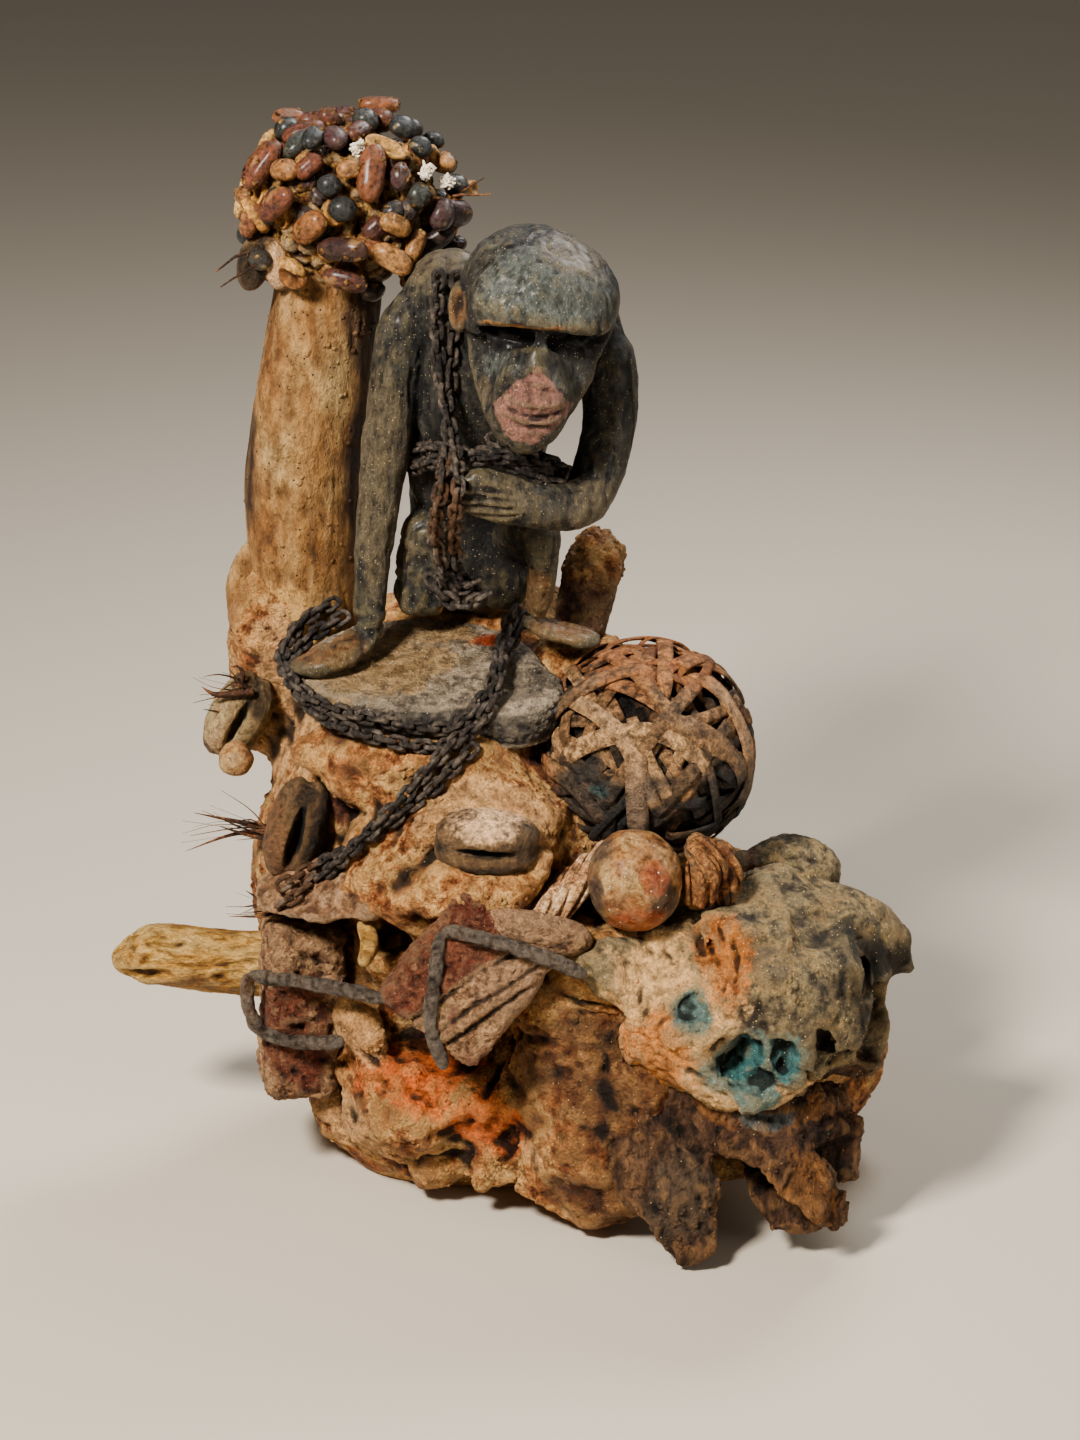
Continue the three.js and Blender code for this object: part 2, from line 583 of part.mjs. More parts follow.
const CHAIN_ROUTES = {
  chain_neck: [[-86, -30, 572], [-88, -44, 540], [-86, -52, 496], [-84, -62, 456],
    [-88, -78, 428], [-78, -52, 390]],
  chain_chest: [[-104, -40, 462], [-76, -70, 474], [-44, -84, 470], [-20, -70, 462]],
  chain_slab: [[-160, -30, 362], [-184, -22, 340], [-168, -60, 318], [-128, -80, 308], [-84, -84, 306],
    [-64, -70, 322], [-54, -40, 344], [-44, -18, 360]],
  chain_slope: [[-78, -86, 300], [-112, -104, 270], [-148, -90, 232], [-188, -70, 196]],
};

// Iron rods, bent over what they bind
const rods = (list) => limbs(list.map((route) => ({
  path: settled(route, ROD_SPOTS, ROD_LIFT).map((spot) => spot.toArray()),
  radii: Array(ROD_SPOTS).fill(ROD_RADIUS),
  sides: 6,
  rings: 7,
  cap: 0.05,
})));

// A mesh whose corners and faces can be merged away
class Skin {
  constructor({ points, faces }) {
    this.spots = [];
    for (let i = 0; i < points.length; i += 3) {
      this.spots.push(new THREE.Vector3().fromArray(points, i));
    }
    this.faces = [];
    this.around = this.spots.map(() => new Set());
    for (let i = 0; i < faces.length; i += 3) {
      const face = [faces[i], faces[i + 1], faces[i + 2]];
      for (const corner of face) this.around[corner].add(this.faces.length);
      this.faces.push(face);
    }
    this.count = this.faces.length;
  }

  // The normal of a face, as long as twice its area, with one corner moved if asked
  normal(face, moved = -1, spot = null) {
    const [a, b, c] = face.map((corner) => (corner === moved ? spot : this.spots[corner]));
    return b.clone().sub(a).cross(c.clone().sub(a));
  }

  neighbours(corner) {
    const corners = [...this.around[corner]].flatMap((i) => this.faces[i]);
    return new Set(corners.filter((v) => v !== corner));
  }

  // How far moving both ends of an edge to one spot takes the surface away, or Infinity
  error(from, to, spot) {
    let worst = 0;
    for (const end of [from, to]) {
      for (const i of this.around[end]) {
        const face = this.faces[i];
        const before = this.normal(face);
        const reach = Math.abs(before.clone().normalize().dot(spot.clone().sub(this.spots[end])));
        worst = Math.max(worst, reach);
        if (face.includes(from) && face.includes(to)) continue;
        const after = this.normal(face, end, spot);
        const kept = after.dot(before) > FACE_TURN * after.length() * before.length();
        if (!kept || after.length() < FACE_AREA) return Infinity;
      }
    }
    return worst;
  }

  // Merges an edge into one corner if the surface moves less than "most"
  merge(from, to, most) {
    const near = this.neighbours(to);
    const shared = [...this.neighbours(from)].filter((v) => near.has(v));
    if (shared.length !== 2) return false;
    const [a, b] = [this.spots[from], this.spots[to]];
    const best = [b, a, a.clone().add(b).multiplyScalar(0.5)]
      .map((spot) => [this.error(from, to, spot), spot])
      .sort((one, other) => one[0] - other[0])[0];
    if (best[0] > most) return false;
    for (const i of [...this.around[from]]) {
      const face = this.faces[i];
      if (face.includes(to)) {
        for (const corner of face) this.around[corner].delete(i);
        this.faces[i] = null;
        this.count -= 1;
      } else {
        face[face.indexOf(from)] = to;
        this.around[to].add(i);
      }
    }
    this.around[from].clear();
    this.spots[to] = best[1].clone();
    return true;
  }

  // Merges edges, the least visible first, down to a number of faces or to a largest error
  simplify(limit, end = Infinity) {
    for (let most = FINEST_STEP; this.count > limit && most <= end; most *= COARSER) {
      for (let i = 0; i < this.faces.length && this.count > limit; i += 1) {
        for (let side = 0; this.faces[i] && side < 3; side += 1) {
          const face = this.faces[i];
          if (this.merge(face[side], face[(side + 1) % 3], most)) break;
        }
      }
    }
    return this;
  }

  // Where each corner goes when every face moves out by one distance
  swollen(distance) {
    return this.spots.map((spot, corner) => {
      const normals = [...this.around[corner]].map((i) => this.normal(this.faces[i]).normalize());
      if (!normals.length) return spot;
      const sum = new THREE.Matrix3().multiplyScalar(STEADYING * normals.length);
      const goal = new THREE.Vector3();
      for (const n of normals) {
        goal.addScaledVector(n, distance);
        n.toArray().forEach((u, row) => n.toArray().forEach((v, column) => {
          sum.elements[row + 3 * column] += u * v;
        }));
      }
      return goal.applyMatrix3(sum.invert()).clampLength(0, SPREAD_LIMIT * distance).add(spot);
    });
  }

  mesh(spots = this.spots) {
    const points = spots.flatMap((spot) => spot.toArray());
    return { points, faces: this.faces.filter(Boolean).flat() };
  }
}

// The largest closed shell of a solid, so that no crumb is left beside it
function largestShell(solid) {
  const { vertProperties: points, triVerts: faces } = solid.getMesh();
  const owner = [...Array(points.length / 3).keys()];
  const find = (start) => {
    let i = start;
    while (owner[i] !== i) {
      owner[i] = owner[owner[i]];
      i = owner[i];
    }
    return i;
  };
  for (let i = 0; i < faces.length; i += 3) {
    owner[find(faces[i + 1])] = find(faces[i]);
    owner[find(faces[i + 2])] = find(faces[i]);
  }
  const shells = new Map();
  for (let i = 0; i < faces.length; i += 3) {
    const key = find(faces[i]);
    if (!shells.has(key)) shells.set(key, []);
    shells.get(key).push(faces[i], faces[i + 1], faces[i + 2]);
  }
  const volumes = [...shells.values()].map((shell) => [signedVolume(points, shell), shell]);
  return { points, faces: volumes.sort((a, b) => b[0] - a[0])[0][1] };
}

// Adds a piece: simplified to a number of faces, then cut clear of the pieces before it
function add(name, solid, most, colour, roughness = 0.9, metalness = 0) {
  const skin = new Skin(largestShell(solid)).simplify(most);
  const box = new THREE.Box3().setFromPoints(skin.spots).expandByScalar(2 * GAP);
  const cut = placed.filter((other) => other.box.intersectsBox(box))
    .reduce((left, other) => left.subtract(other.swollen), solidOf(skin.mesh()));
  const { points, faces } = new Skin(largestShell(cut)).simplify(0, FINEST_STEP).mesh();
  const loose = new THREE.BufferGeometry();
  loose.setAttribute('position', new THREE.BufferAttribute(new Float32Array(points), 3));
  loose.setIndex([...faces]);
  const geometry = mergeVertices(loose.toNonIndexed(), 1e-5);
  geometry.computeBoundingBox();
  const middle = geometry.boundingBox.getCenter(new THREE.Vector3()).round();
  geometry.translate(-middle.x, -middle.y, -middle.z);
  geometry.computeVertexNormals();
  const material = new THREE.MeshStandardMaterial({
    color: colour, roughness, metalness, flatShading: true,
  });
  const mesh = new THREE.Mesh(geometry, material);
  mesh.name = name;
  mesh.position.copy(middle);
  mesh.updateMatrixWorld();
  group.add(mesh);
  placed.push({ box, mesh, swollen: solidOf(skin.mesh(skin.swollen(GAP))) });
}

add('mound', mound(), 1500, COLOUR.crust, 0.95);
add('post', post(), 160, COLOUR.postWood, 0.75);
add('post_bark', bark(), 50, COLOUR.bone, 0.85);
add('slab', slab(), 170, COLOUR.slabCrust);
add('stump', stump(), 90, COLOUR.prongCrust);
add('figure', figure(), 1280, COLOUR.carvedWood, 0.55);
add('seed_cluster', seedCluster(), 980, COLOUR.resin, 0.5);
add('hanging_pod', lumps(HANGING_POD), 80, COLOUR.pod, 0.5);
add('skull', skull(), 560, COLOUR.stoneCrust, 0.85);
add('jaw', limbs(JAW_LIMBS), 260, COLOUR.prongCrust);
add('plaited_ball', plaitedBall(), 520, COLOUR.strip, 0.7);
add('gourd_ball', lump(GOURD), 120, COLOUR.gourd, 0.6);
add('fibre_knot', limbs(KNOT_LIMBS), 70, COLOUR.fibre);
add('back_lump', lumps(BACK_LUMPS), 90, COLOUR.stoneCrust, 0.8);
add('split_pod_front', splitPod(FRONT_POD), 90, COLOUR.pod, 0.6);
add('split_pod_side', splitPod(SIDE_POD), 90, COLOUR.pod, 0.6);
add('shell_nut', splitPod(SHELL), 90, COLOUR.stoneCrust, 0.55);
add('small_ball', lump(SMALL_BALL), 50, COLOUR.prongCrust, 0.6);
add('bone_stub', limb(BONE_STUB), 80, COLOUR.bone, 0.6);
add('packet_front', brick(FRONT_PACKET), 80, COLOUR.packet, 0.7);
add('packet_side', brick(SIDE_PACKET), 80, COLOUR.packet, 0.8);
add('packet_bar', limb(PACKET_BAR), 50, COLOUR.prongCrust, 0.85);
add('hide_flap', limb(HIDE_FLAP), 80, COLOUR.hide, 0.85);
add('bone_peg', limb(BONE_PEG), 30, COLOUR.bone, 0.6);
add('fibre_strands', limbs(STRAND_LIMBS), 90, COLOUR.fibre);
add('binding_front', rods(FRONT_RODS), 110, COLOUR.iron, 0.6, 0.6);
add('binding_side', rods(SIDE_RODS), 130, COLOUR.iron, 0.6, 0.6);
for (const [name, tips] of Object.entries(TUFTS)) add(name, tuft(tips), 50, COLOUR.feather);
for (const [name, route] of Object.entries(CHAIN_ROUTES)) {
  add(name, chain(route), 400, COLOUR.iron, 0.6, 0.6);
}

export default group;
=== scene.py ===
"""Power figure: a carved monkey sits chained on a mound of crusted earth, resin and bound offerings.

Sizes are in millimetres in the part's own frame (+Z up, the figure faces -Y) and become metres when
a piece is made. Each sub-assembly is a class that carves its forms and dresses them, and each finish
is a small dataclass that builds its material.
"""

import logging
import math
from dataclasses import dataclass, field, replace
from enum import Enum
from functools import partial
from itertools import product
from typing import Iterable, Sequence

import bpy
import numpy as np
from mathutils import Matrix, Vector
from mathutils.bvhtree import BVHTree


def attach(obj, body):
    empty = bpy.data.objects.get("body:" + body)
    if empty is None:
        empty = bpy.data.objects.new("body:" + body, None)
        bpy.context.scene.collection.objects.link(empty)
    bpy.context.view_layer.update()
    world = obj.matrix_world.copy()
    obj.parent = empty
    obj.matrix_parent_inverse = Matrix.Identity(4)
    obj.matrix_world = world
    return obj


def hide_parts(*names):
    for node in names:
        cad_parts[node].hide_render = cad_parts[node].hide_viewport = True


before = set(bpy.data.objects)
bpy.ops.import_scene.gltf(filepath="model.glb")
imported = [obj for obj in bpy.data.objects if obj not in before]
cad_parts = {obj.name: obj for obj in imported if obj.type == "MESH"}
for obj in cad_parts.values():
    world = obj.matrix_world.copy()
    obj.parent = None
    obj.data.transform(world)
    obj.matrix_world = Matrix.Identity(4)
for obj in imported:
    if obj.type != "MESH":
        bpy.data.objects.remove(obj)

LOG = logging.getLogger("power_figure")
MM = 0.001                       # metres in a millimetre
BODY = "root"
FAR = 1.0e3                      # a distance larger than any in the part
NEAR = 16.0                      # how far from a surface its distance has to be right
SCRAMBLE = (127.1, 311.7, 74.7)  # these two make whole numbers look random
SCATTER = (43758.5453, 12578.1459, 31415.9265)
VIEW_DROP = math.radians(22)     # how steeply the front is looked down on
RIGHT = np.array((1.0, 0, 0))
RISE = np.array((0, math.sin(VIEW_DROP), math.cos(VIEW_DROP)))
TO_VIEWER = np.array((0, -math.cos(VIEW_DROP), math.sin(VIEW_DROP)))
Point = tuple[float, float, float]
Line = tuple[tuple[float, float], ...]
Array = np.ndarray
Mesh, Object, Material, Socket = bpy.types.Mesh, bpy.types.Object, bpy.types.Material, bpy.types.NodeSocket


def turning(turn: Point) -> Array:
    """Matrix of a turn in degrees about X, then the turned Y, then the turned Z."""
    a, b, c = np.radians(turn)
    about_x = np.array([[1, 0, 0], [0, math.cos(a), -math.sin(a)], [0, math.sin(a), math.cos(a)]])
    about_y = np.array([[math.cos(b), 0, math.sin(b)], [0, 1, 0], [-math.sin(b), 0, math.cos(b)]])
    about_z = np.array([[math.cos(c), -math.sin(c), 0], [math.sin(c), math.cos(c), 0], [0, 0, 1]])
    return about_x @ about_y @ about_z


LAYER_TURN = turning((37, 23, 71))     # turns each layer of noise, so that no lattice shows


def noise(spots: Array) -> Array:
    """Smooth repeatable noise from -1 to 1, with waves one unit wide, for points in rows."""
    cell = np.floor(spots)
    part = spots - cell
    part = part * part * (3 - 2 * part)
    total = np.zeros(len(spots))
    for corner in product((0, 1), repeat=3):
        weight = np.prod(np.where(corner, part, 1 - part), axis=1)
        mixed = np.sin((cell + corner) @ SCRAMBLE) * SCATTER[0]
        total += weight * (mixed - np.floor(mixed))
    return 2 * total - 1


def fractal(spots: Array, width: float, layers: int = 4, fade: float = 0.5, seed: float = 0) -> Array:
    """Noise in layers that get finer.

    Args:
        spots: Points, one to a row.
        width: Width of the widest waves.
        layers: How many layers.
        fade: Strength of each layer beside the one before.
        seed: Moves the pattern.

    Returns:
        About -1 to 1 for each point.
    """
    place = spots / width + 17.3 * seed
    total = np.zeros(len(spots))
    for layer in range(layers):
        total += fade ** layer * noise(place)
        place = place @ LAYER_TURN * 2.03
    return total / sum(fade ** layer for layer in range(layers))


def ridges(spots: Array, width: float, layers: int = 3, seed: float = 0) -> Array:
    """Noise with sharp crests, from 0 to 1."""
    place = spots / width + 11.9 * seed
    total = np.zeros(len(spots))
    for layer in range(layers):
        total += 0.5 ** layer * (1 - np.abs(noise(place)) * 2).clip(0, 1)
        place = place @ LAYER_TURN * 2.1
    return total / sum(0.5 ** layer for layer in range(layers))


def warped(spots: Array, width: float, seed: float = 0) -> Array:
    """Points shifted by slow noise, so that a pattern on them bends."""
    shift = np.column_stack([fractal(spots, 1.4 * width, 2, 0.5, seed + 5 * i) for i in range(3)])
    return spots + 0.45 * width * shift


def nodules(spots: Array, width: float, seed: float = 0) -> Array:
    """Rounded grains packed beside one another.

    Args:
        spots: Points, one to a row.
        width: Width of a grain.
        seed: Moves the pattern.

    Returns:
        1 in the middle of a grain, near 0 in the seams.
    """
    place = spots / width + 7.7 * seed
    cell = np.floor(place)
    nearest = np.full(len(spots), FAR)
    second = np.full(len(spots), FAR)
    for step in product((-1, 0, 1), repeat=3):
        other = cell + step
        mixed = np.sin(other @ SCRAMBLE)[:, None] * SCATTER
        away = np.linalg.norm(other + (mixed - np.floor(mixed)) - place, axis=1)
        second = np.minimum(second, np.maximum(away, nearest))
        nearest = np.minimum(nearest, away)
    return np.clip((second - nearest) * 1.6, 0, 1) ** 0.6


def smooth_path(points: Sequence[Point], shares: Array) -> Array:
    """Points on a smooth curve through the given points.

    Args:
        points: The curve's own points.
        shares: Where along the curve, from 0 to 1.

    Returns:
        One point for each share.
    """
    own = np.array(points, float)
    padded = np.vstack([2 * own[0] - own[1], own, 2 * own[-1] - own[-2]])
    place = np.clip(shares, 0, 1) * (len(own) - 1)
    span = np.minimum(place.astype(int), len(own) - 2)
    t = (place - span)[:, None]
    p0, p1, p2, p3 = (padded[span + step] for step in range(4))
    d0, d1, d2 = (np.linalg.norm(b - a, axis=1)[:, None] ** 0.5 for a, b in ((p0, p1), (p1, p2), (p2, p3)))
    leave = ((p1 - p0) / d0 - (p2 - p0) / (d0 + d1) + (p2 - p1) / d1) * d1
    reach = ((p2 - p1) / d1 - (p3 - p1) / (d1 + d2) + (p3 - p2) / d2) * d1
    return (p1 + leave * t + (3 * (p2 - p1) - 2 * leave - reach) * t ** 2
            + (2 * (p1 - p2) + leave + reach) * t ** 3)


def run_along(path: Array) -> Array:
    """How far along a path each of its points lies."""
    return np.concatenate([[0], np.cumsum(np.linalg.norm(np.diff(path, axis=0), axis=1))])


def unit(ways: Array) -> Array:
    """Directions made one long."""
    return ways / np.linalg.norm(ways, axis=1)[:, None]


def step_between(value: Array, low: float, high: float) -> Array:
    """0 below low, 1 above high, and a smooth rise between."""
    t = np.clip((value - low) / (high - low), 0, 1)
    return t * t * (3 - 2 * t)


@dataclass(frozen=True)
class Block:
    """A form about a middle, with half sizes, a turn and a share by which it is uneven."""

    at: Point
    size: Point
    turn: Point = (0, 0, 0)
    rough: float = field(default=0.0, kw_only=True)

    def local(self, spots: Array) -> Array:
        """Points as they lie from its middle, along its own axes."""
        return (spots - self.at) @ turning(self.turn)

    def reach(self) -> tuple[Array, Array]:
        """Lowest and highest corner of its space."""
        half = np.abs(turning(self.turn)) @ self.size * (1 + self.rough)
        return self.at - half, self.at + half


@dataclass(frozen=True)
class Lump(Block):
    """A rough ellipsoid."""

    rough: float = 0.0
    seed: float = 0.0

    def distance(self, spots: Array) -> Array:
        """Distance to its surface, negative inside."""
        ball = self.local(spots) / self.size
        length = np.linalg.norm(ball, axis=1) + 1e-9
        swell = np.ones(len(spots))
        if self.rough:
            near = np.flatnonzero(np.abs(length - 1) < self.rough + NEAR / min(self.size))
            shift = np.array([self.seed, 2 * self.seed, -self.seed])
            swell[near] += self.rough * noise(ball[near] / length[near, None] * 2 + shift)
        slope = np.linalg.norm(ball / self.size, axis=1) + 1e-9
        return length * (length - swell) / slope


@dataclass(frozen=True)
class Limb:
    """A tapered form along a smooth path; its radii belong to the path's points."""

    path: Sequence[Point]
    radii: Sequence[float]
    flat: float = 1.0
    facing: Point = (0, -1, 0)
    cap: float = 0.14
    samples: int = 22

    def frames(self) -> tuple[Array, Array, Array, Array]:
        """Middle, radius, side and outward direction at each sample."""
        shares = np.linspace(0, 1, self.samples)
        middle = smooth_path(self.path, shares)
        along = np.gradient(middle, axis=0)
        side = unit(np.cross(along, self.facing))
        out = unit(np.cross(side, along))
        from_end = np.minimum(1, np.minimum(shares, 1 - shares) / self.cap)
        radius = np.interp(shares * (len(self.radii) - 1), range(len(self.radii)), self.radii)
        return middle, radius * np.sqrt(1 - (1 - from_end) ** 2), side, out

    def reach(self) -> tuple[Array, Array]:
        """Lowest and highest corner of its space."""
        middle, radius, _, _ = self.frames()
        wide = radius[:, None] * max(1, self.flat)
        return (middle - wide).min(0), (middle + wide).max(0)

    def distance(self, spots: Array) -> Array:
        """Distance to its surface, negative inside."""
        middle, radius, _, out = self.frames()
        least = np.full(len(spots), FAR)
        squeeze = 1 / self.flat - 1
        for i in range(self.samples - 1):
            way = middle[i + 1] - middle[i]
            away = spots - middle[i]
            t = np.clip(away @ way / (way @ way), 0, 1)
            away = away - t[:, None] * way
            if squeeze:
                away = away + (away @ out[i])[:, None] * out[i] * squeeze
            width = radius[i] + t * (radius[i + 1] - radius[i])
            least = np.minimum(least, np.linalg.norm(away, axis=1) - width)
        return least * min(1, self.flat)


@dataclass(frozen=True)
class Brick(Block):
    """A block with rounded edges."""

    edge: float = 8.0

    def distance(self, spots: Array) -> Array:
        """Distance to its surface, negative inside."""
        local = np.abs(self.local(spots)) - (np.array(self.size) - self.edge)
        outside = np.linalg.norm(np.maximum(local, 0), axis=1)
        return outside + np.minimum(local.max(1), 0) - self.edge


@dataclass(frozen=True)
class Cake(Block):
    """A flat round block with an uneven rim."""

    edge: float = 5.0
    rough: float = field(default=0.05, kw_only=True)

    def distance(self, spots: Array) -> Array:
        """Distance to its surface, negative inside."""
        local = self.local(spots)
        level = local[:, :2] / self.size[:2]
        length = np.linalg.norm(level, axis=1) + 1e-9
        ring = np.column_stack([level / length[:, None] * 2 + (4, 0), np.full(len(spots), 3.0)])
        swell = (1 + self.rough * noise(ring)) * (1 - 0.09 * np.abs(local[:, 2]) / self.size[2])
        slope = np.linalg.norm(level / self.size[:2], axis=1) + 1e-9
        rim = length * (length - swell) / slope + self.edge
        face = np.abs(local[:, 2]) - self.size[2] + self.edge
        outside = np.hypot(np.maximum(rim, 0), np.maximum(face, 0))
        return outside + np.minimum(np.maximum(rim, face), 0) - self.edge


Solid = Lump | Limb | Brick | Cake


def melt(one: Array, other: Array, blend: float) -> Array:
    """The nearer of two surfaces, with a soft fillet where they meet."""
    share = np.clip(0.5 + 0.5 * (other - one) / blend, 0, 1)
    return other * (1 - share) + one * share - blend * share * (1 - share)


@dataclass
class Form:
    """Solids that melt into one another, and hollows cut from them."""

    steps: list[tuple[Solid, float, bool]] = field(default_factory=list)

    def add(self, solids: Iterable[Solid], blend: float = 6.0) -> "Form":
        """Joins solids, with fillets of a given width."""
        self.steps += [(solid, blend, True) for solid in solids]
        return self

    def cut(self, solids: Iterable[Solid], blend: float = 3.0) -> "Form":
        """Cuts solids away, with edges rounded over a given width."""
        self.steps += [(solid, blend, False) for solid in solids]
        return self

    def distance(self, spots: Array, margin: float = 12.0) -> Array:
        """Distance to the form's surface, right within a margin of it."""
        value = np.full(len(spots), FAR)
        for solid, blend, joins in self.steps:
            low, high = solid.reach()
            room = margin + blend
            near = np.flatnonzero(np.all((spots > low - room) & (spots < high + room), axis=1))
            if len(near):
                value[near] = self._combined(value[near], solid.distance(spots[near]), blend, joins)
        return value

    def front(self, line: Line, sink: float = 0.0) -> list[Point]:
        """Places on the near side, given across and up, that lie a little under the surface."""
        spots = np.array([(x, -190.0, z) for x, z in line])
        for _ in range(60):
            spots[:, 1] += np.clip(self.distance(spots, 400.0), 0, 20) * 0.8
        return [(x, y + sink, z) for x, y, z in spots.tolist()]

    @staticmethod
    def _combined(value: Array, other: Array, blend: float, joins: bool) -> Array:
        """Joins or cuts one distance with another."""
        return melt(value, other, blend) if joins else -melt(-value, other, blend)

    def skin(self, step: float, floor: float | None = None) -> "Skin":
        """The form's surface in faces of a given width, cut off at the floor if there is one."""
        ends = [solid.reach() for solid, _, joins in self.steps if joins]
        low = np.min([end[0] for end in ends], axis=0) - 3 * step
        high = np.max([end[1] for end in ends], axis=0) + 3 * step
        axes = [np.arange(low[i], high[i] + step, step) for i in range(3)]
        value = np.full([len(axis) for axis in axes], FAR, np.float32)
        for solid, blend, joins in self.steps:
            bottom, top = solid.reach()
            room = blend + 3 * step
            near = tuple(slice(max(0, int((bottom[i] - room - low[i]) / step)),
                               max(0, int((top[i] + room - low[i]) / step) + 1)) for i in range(3))
            if value[near].size:
                spots = np.stack(np.meshgrid(*(axes[i][near[i]] for i in range(3)), indexing="ij"), -1)
                other = solid.distance(spots.reshape(-1, 3)).reshape(value[near].shape)
                value[near] = self._combined(value[near], other, blend, joins)
        if floor is not None:
            value = np.maximum(value, floor - axes[2][None, None, :])
        return Skin.wrapped(value, low, step)


def corners(mesh: Mesh) -> Array:
    """A mesh's corners in millimetres."""
    flat = np.empty(3 * len(mesh.vertices), np.float32)
    mesh.vertices.foreach_get("co", flat)
    return flat.reshape(-1, 3).astype(float) / MM


def faces(mesh: Mesh) -> Array:
    """The corners of each face of a mesh whose faces all have four."""
    flat = np.empty(len(mesh.loops), np.int32)
    mesh.loops.foreach_get("vertex_index", flat)
    return flat.reshape(-1, 4)


def note(mesh: Mesh, **marks: Array) -> Mesh:
    """Writes marks on a mesh's corners."""
    for mark, value in marks.items():
        mesh.attributes.new(mark, "FLOAT", "POINT").data.foreach_set("value", value.astype(np.float32))
    return mesh


@dataclass
class Skin:
    """A closed mesh, carved by moving its corners."""

    spots: Array
    quads: Array
    marks: dict[str, Array] = field(default_factory=dict)

    @classmethod
    def wrapped(cls, value: Array, low: Array, step: float) -> "Skin":
        """Wraps a mesh round the part of a grid whose values are negative.

        Args:
            value: Distances at the grid's corners.
            low: Place of the grid's first corner.
            step: Width of a cell.

        Returns:
            A mesh with one corner in each cell that the surface crosses.
        """
        inside = value < 0
        cells = tuple(size - 1 for size in value.shape)
        corners = [tuple(slice(s, s + n) for s, n in zip(shift, cells))
                   for shift in product((0, 1), repeat=3)]
        filled = sum(inside[corner].astype(np.int8) for corner in corners)
        active = np.argwhere((filled > 0) & (filled < 8))
        number = np.full(cells, -1, np.int64)
        number[tuple(active.T)] = np.arange(len(active))
        total = np.zeros((len(active), 3))
        count = np.zeros(len(active))
        for axis in range(3):
            others = [other for other in range(3) if other != axis]
            for shift in product((0, 1), repeat=2):
                start = active.copy()
                start[:, others] += shift
                end = start.copy()
                end[:, axis] += 1
                first, last = value[tuple(start.T)], value[tuple(end.T)]
                crossed = (first < 0) != (last < 0)
                share = np.where(crossed, first / np.where(crossed, first - last, 1), 0)
                spot = start.astype(float)
                spot[:, axis] += share
                total += spot * crossed[:, None]
                count += crossed
        quads = [cls._walls(inside, number, axis) for axis in range(3)]
        return cls(low + total / count[:, None] * step, np.concatenate(quads))

    @staticmethod
    def _walls(inside: Array, number: Array, axis: int) -> Array:
        """Faces that cross the grid's edges along one axis, facing out."""
        others = ((axis + 1) % 3, (axis + 2) % 3)
        ahead = np.take(inside, range(1, inside.shape[axis]), axis)
        behind = np.take(inside, range(inside.shape[axis] - 1), axis)
        edges = np.argwhere(ahead != behind)
        edges = edges[(edges[:, others[0]] > 0) & (edges[:, others[1]] > 0)]
        ring = []
        for shift in ((-1, -1), (0, -1), (0, 0), (-1, 0)):
            cell = edges.copy()
            cell[:, others] += shift
            cell = np.minimum(cell, np.array(number.shape) - 1)
            ring.append(number[tuple(cell.T)])
        quads = np.stack(ring, 1)
        flipped = ahead[tuple(edges.T)]
        quads[flipped] = quads[flipped][:, ::-1]
        return quads[np.all(quads >= 0, axis=1)]

    def normals(self) -> Array:
        """Outward direction at each corner."""
        a, b, c, d = (self.spots[self.quads[:, i]] for i in range(4))
        face = np.cross(c - a, d - b)
        total = np.zeros_like(self.spots)
        for i, axis in product(range(4), range(3)):
            total[:, axis] += np.bincount(self.quads[:, i], face[:, axis], len(total))
        return total / (np.linalg.norm(total, axis=1)[:, None] + 1e-12)

    def spread(self, value: Array, times: int) -> Array:
        """Averages a value over each corner's neighbours."""
        starts = self.quads.ravel()
        ends = np.roll(self.quads, -1, axis=1).ravel()
        weight = np.bincount(starts, minlength=len(value)) + np.bincount(ends, minlength=len(value))
        wide = value.reshape(len(value), -1).astype(float)
        for _ in range(times):
            wide = np.column_stack([
                (np.bincount(starts, column[ends], len(value))
                 + np.bincount(ends, column[starts], len(value)))
                / np.maximum(weight, 1) for column in wide.T])
        return wide.reshape(value.shape)

    def push(self, amount: Array) -> "Skin":
        """Moves each corner outwards by its own amount."""
        self.spots = self.spots + self.normals() * amount[:, None]
        return self

    def relax(self, times: int = 1, strength: float = 0.5) -> "Skin":
        """Evens out the mesh."""
        for _ in range(times):
            self.spots = self.spots + strength * (self.spread(self.spots, 1) - self.spots)
        return self

    def fit(self, form: Form, times: int = 2) -> "Skin":
        """Moves the corners onto a form's true surface."""
        nudge = 0.4
        for _ in range(times):
            value = form.distance(self.spots)
            slope = np.stack([form.distance(self.spots + nudge * np.eye(3)[i]) - value for i in range(3)], 1)
            slope /= nudge
            length = (slope ** 2).sum(1) + 1e-6
            self.spots = self.spots - slope * (np.clip(value, -2, 2) / np.maximum(length, 0.3))[:, None]
        return self

    def note_relief(self, reach: int = 8) -> "Skin":
        """Marks sunk and raised places beside what lies some faces away, for painted shade and highlight."""
        near = self.spread(self.spots, reach)
        far = self.spread(near, 3 * reach)
        out = self.normals()
        fine, wide = (((mean - self.spots) * out).sum(1) for mean in (near, far))
        depth = sum(share * value / max(np.percentile(np.abs(value), 90), least) for share, value, least in
                    ((0.5, self.spread(fine, 1), 0.25), (0.28, wide, 1.8)))
        # Painted shade goes on the sunk places and a painted highlight, with wear, on the raised ones
        self.marks["hollow"] = np.clip(depth, 0, 1)
        self.marks["proud"] = np.clip(-depth, 0, 1)
        return self

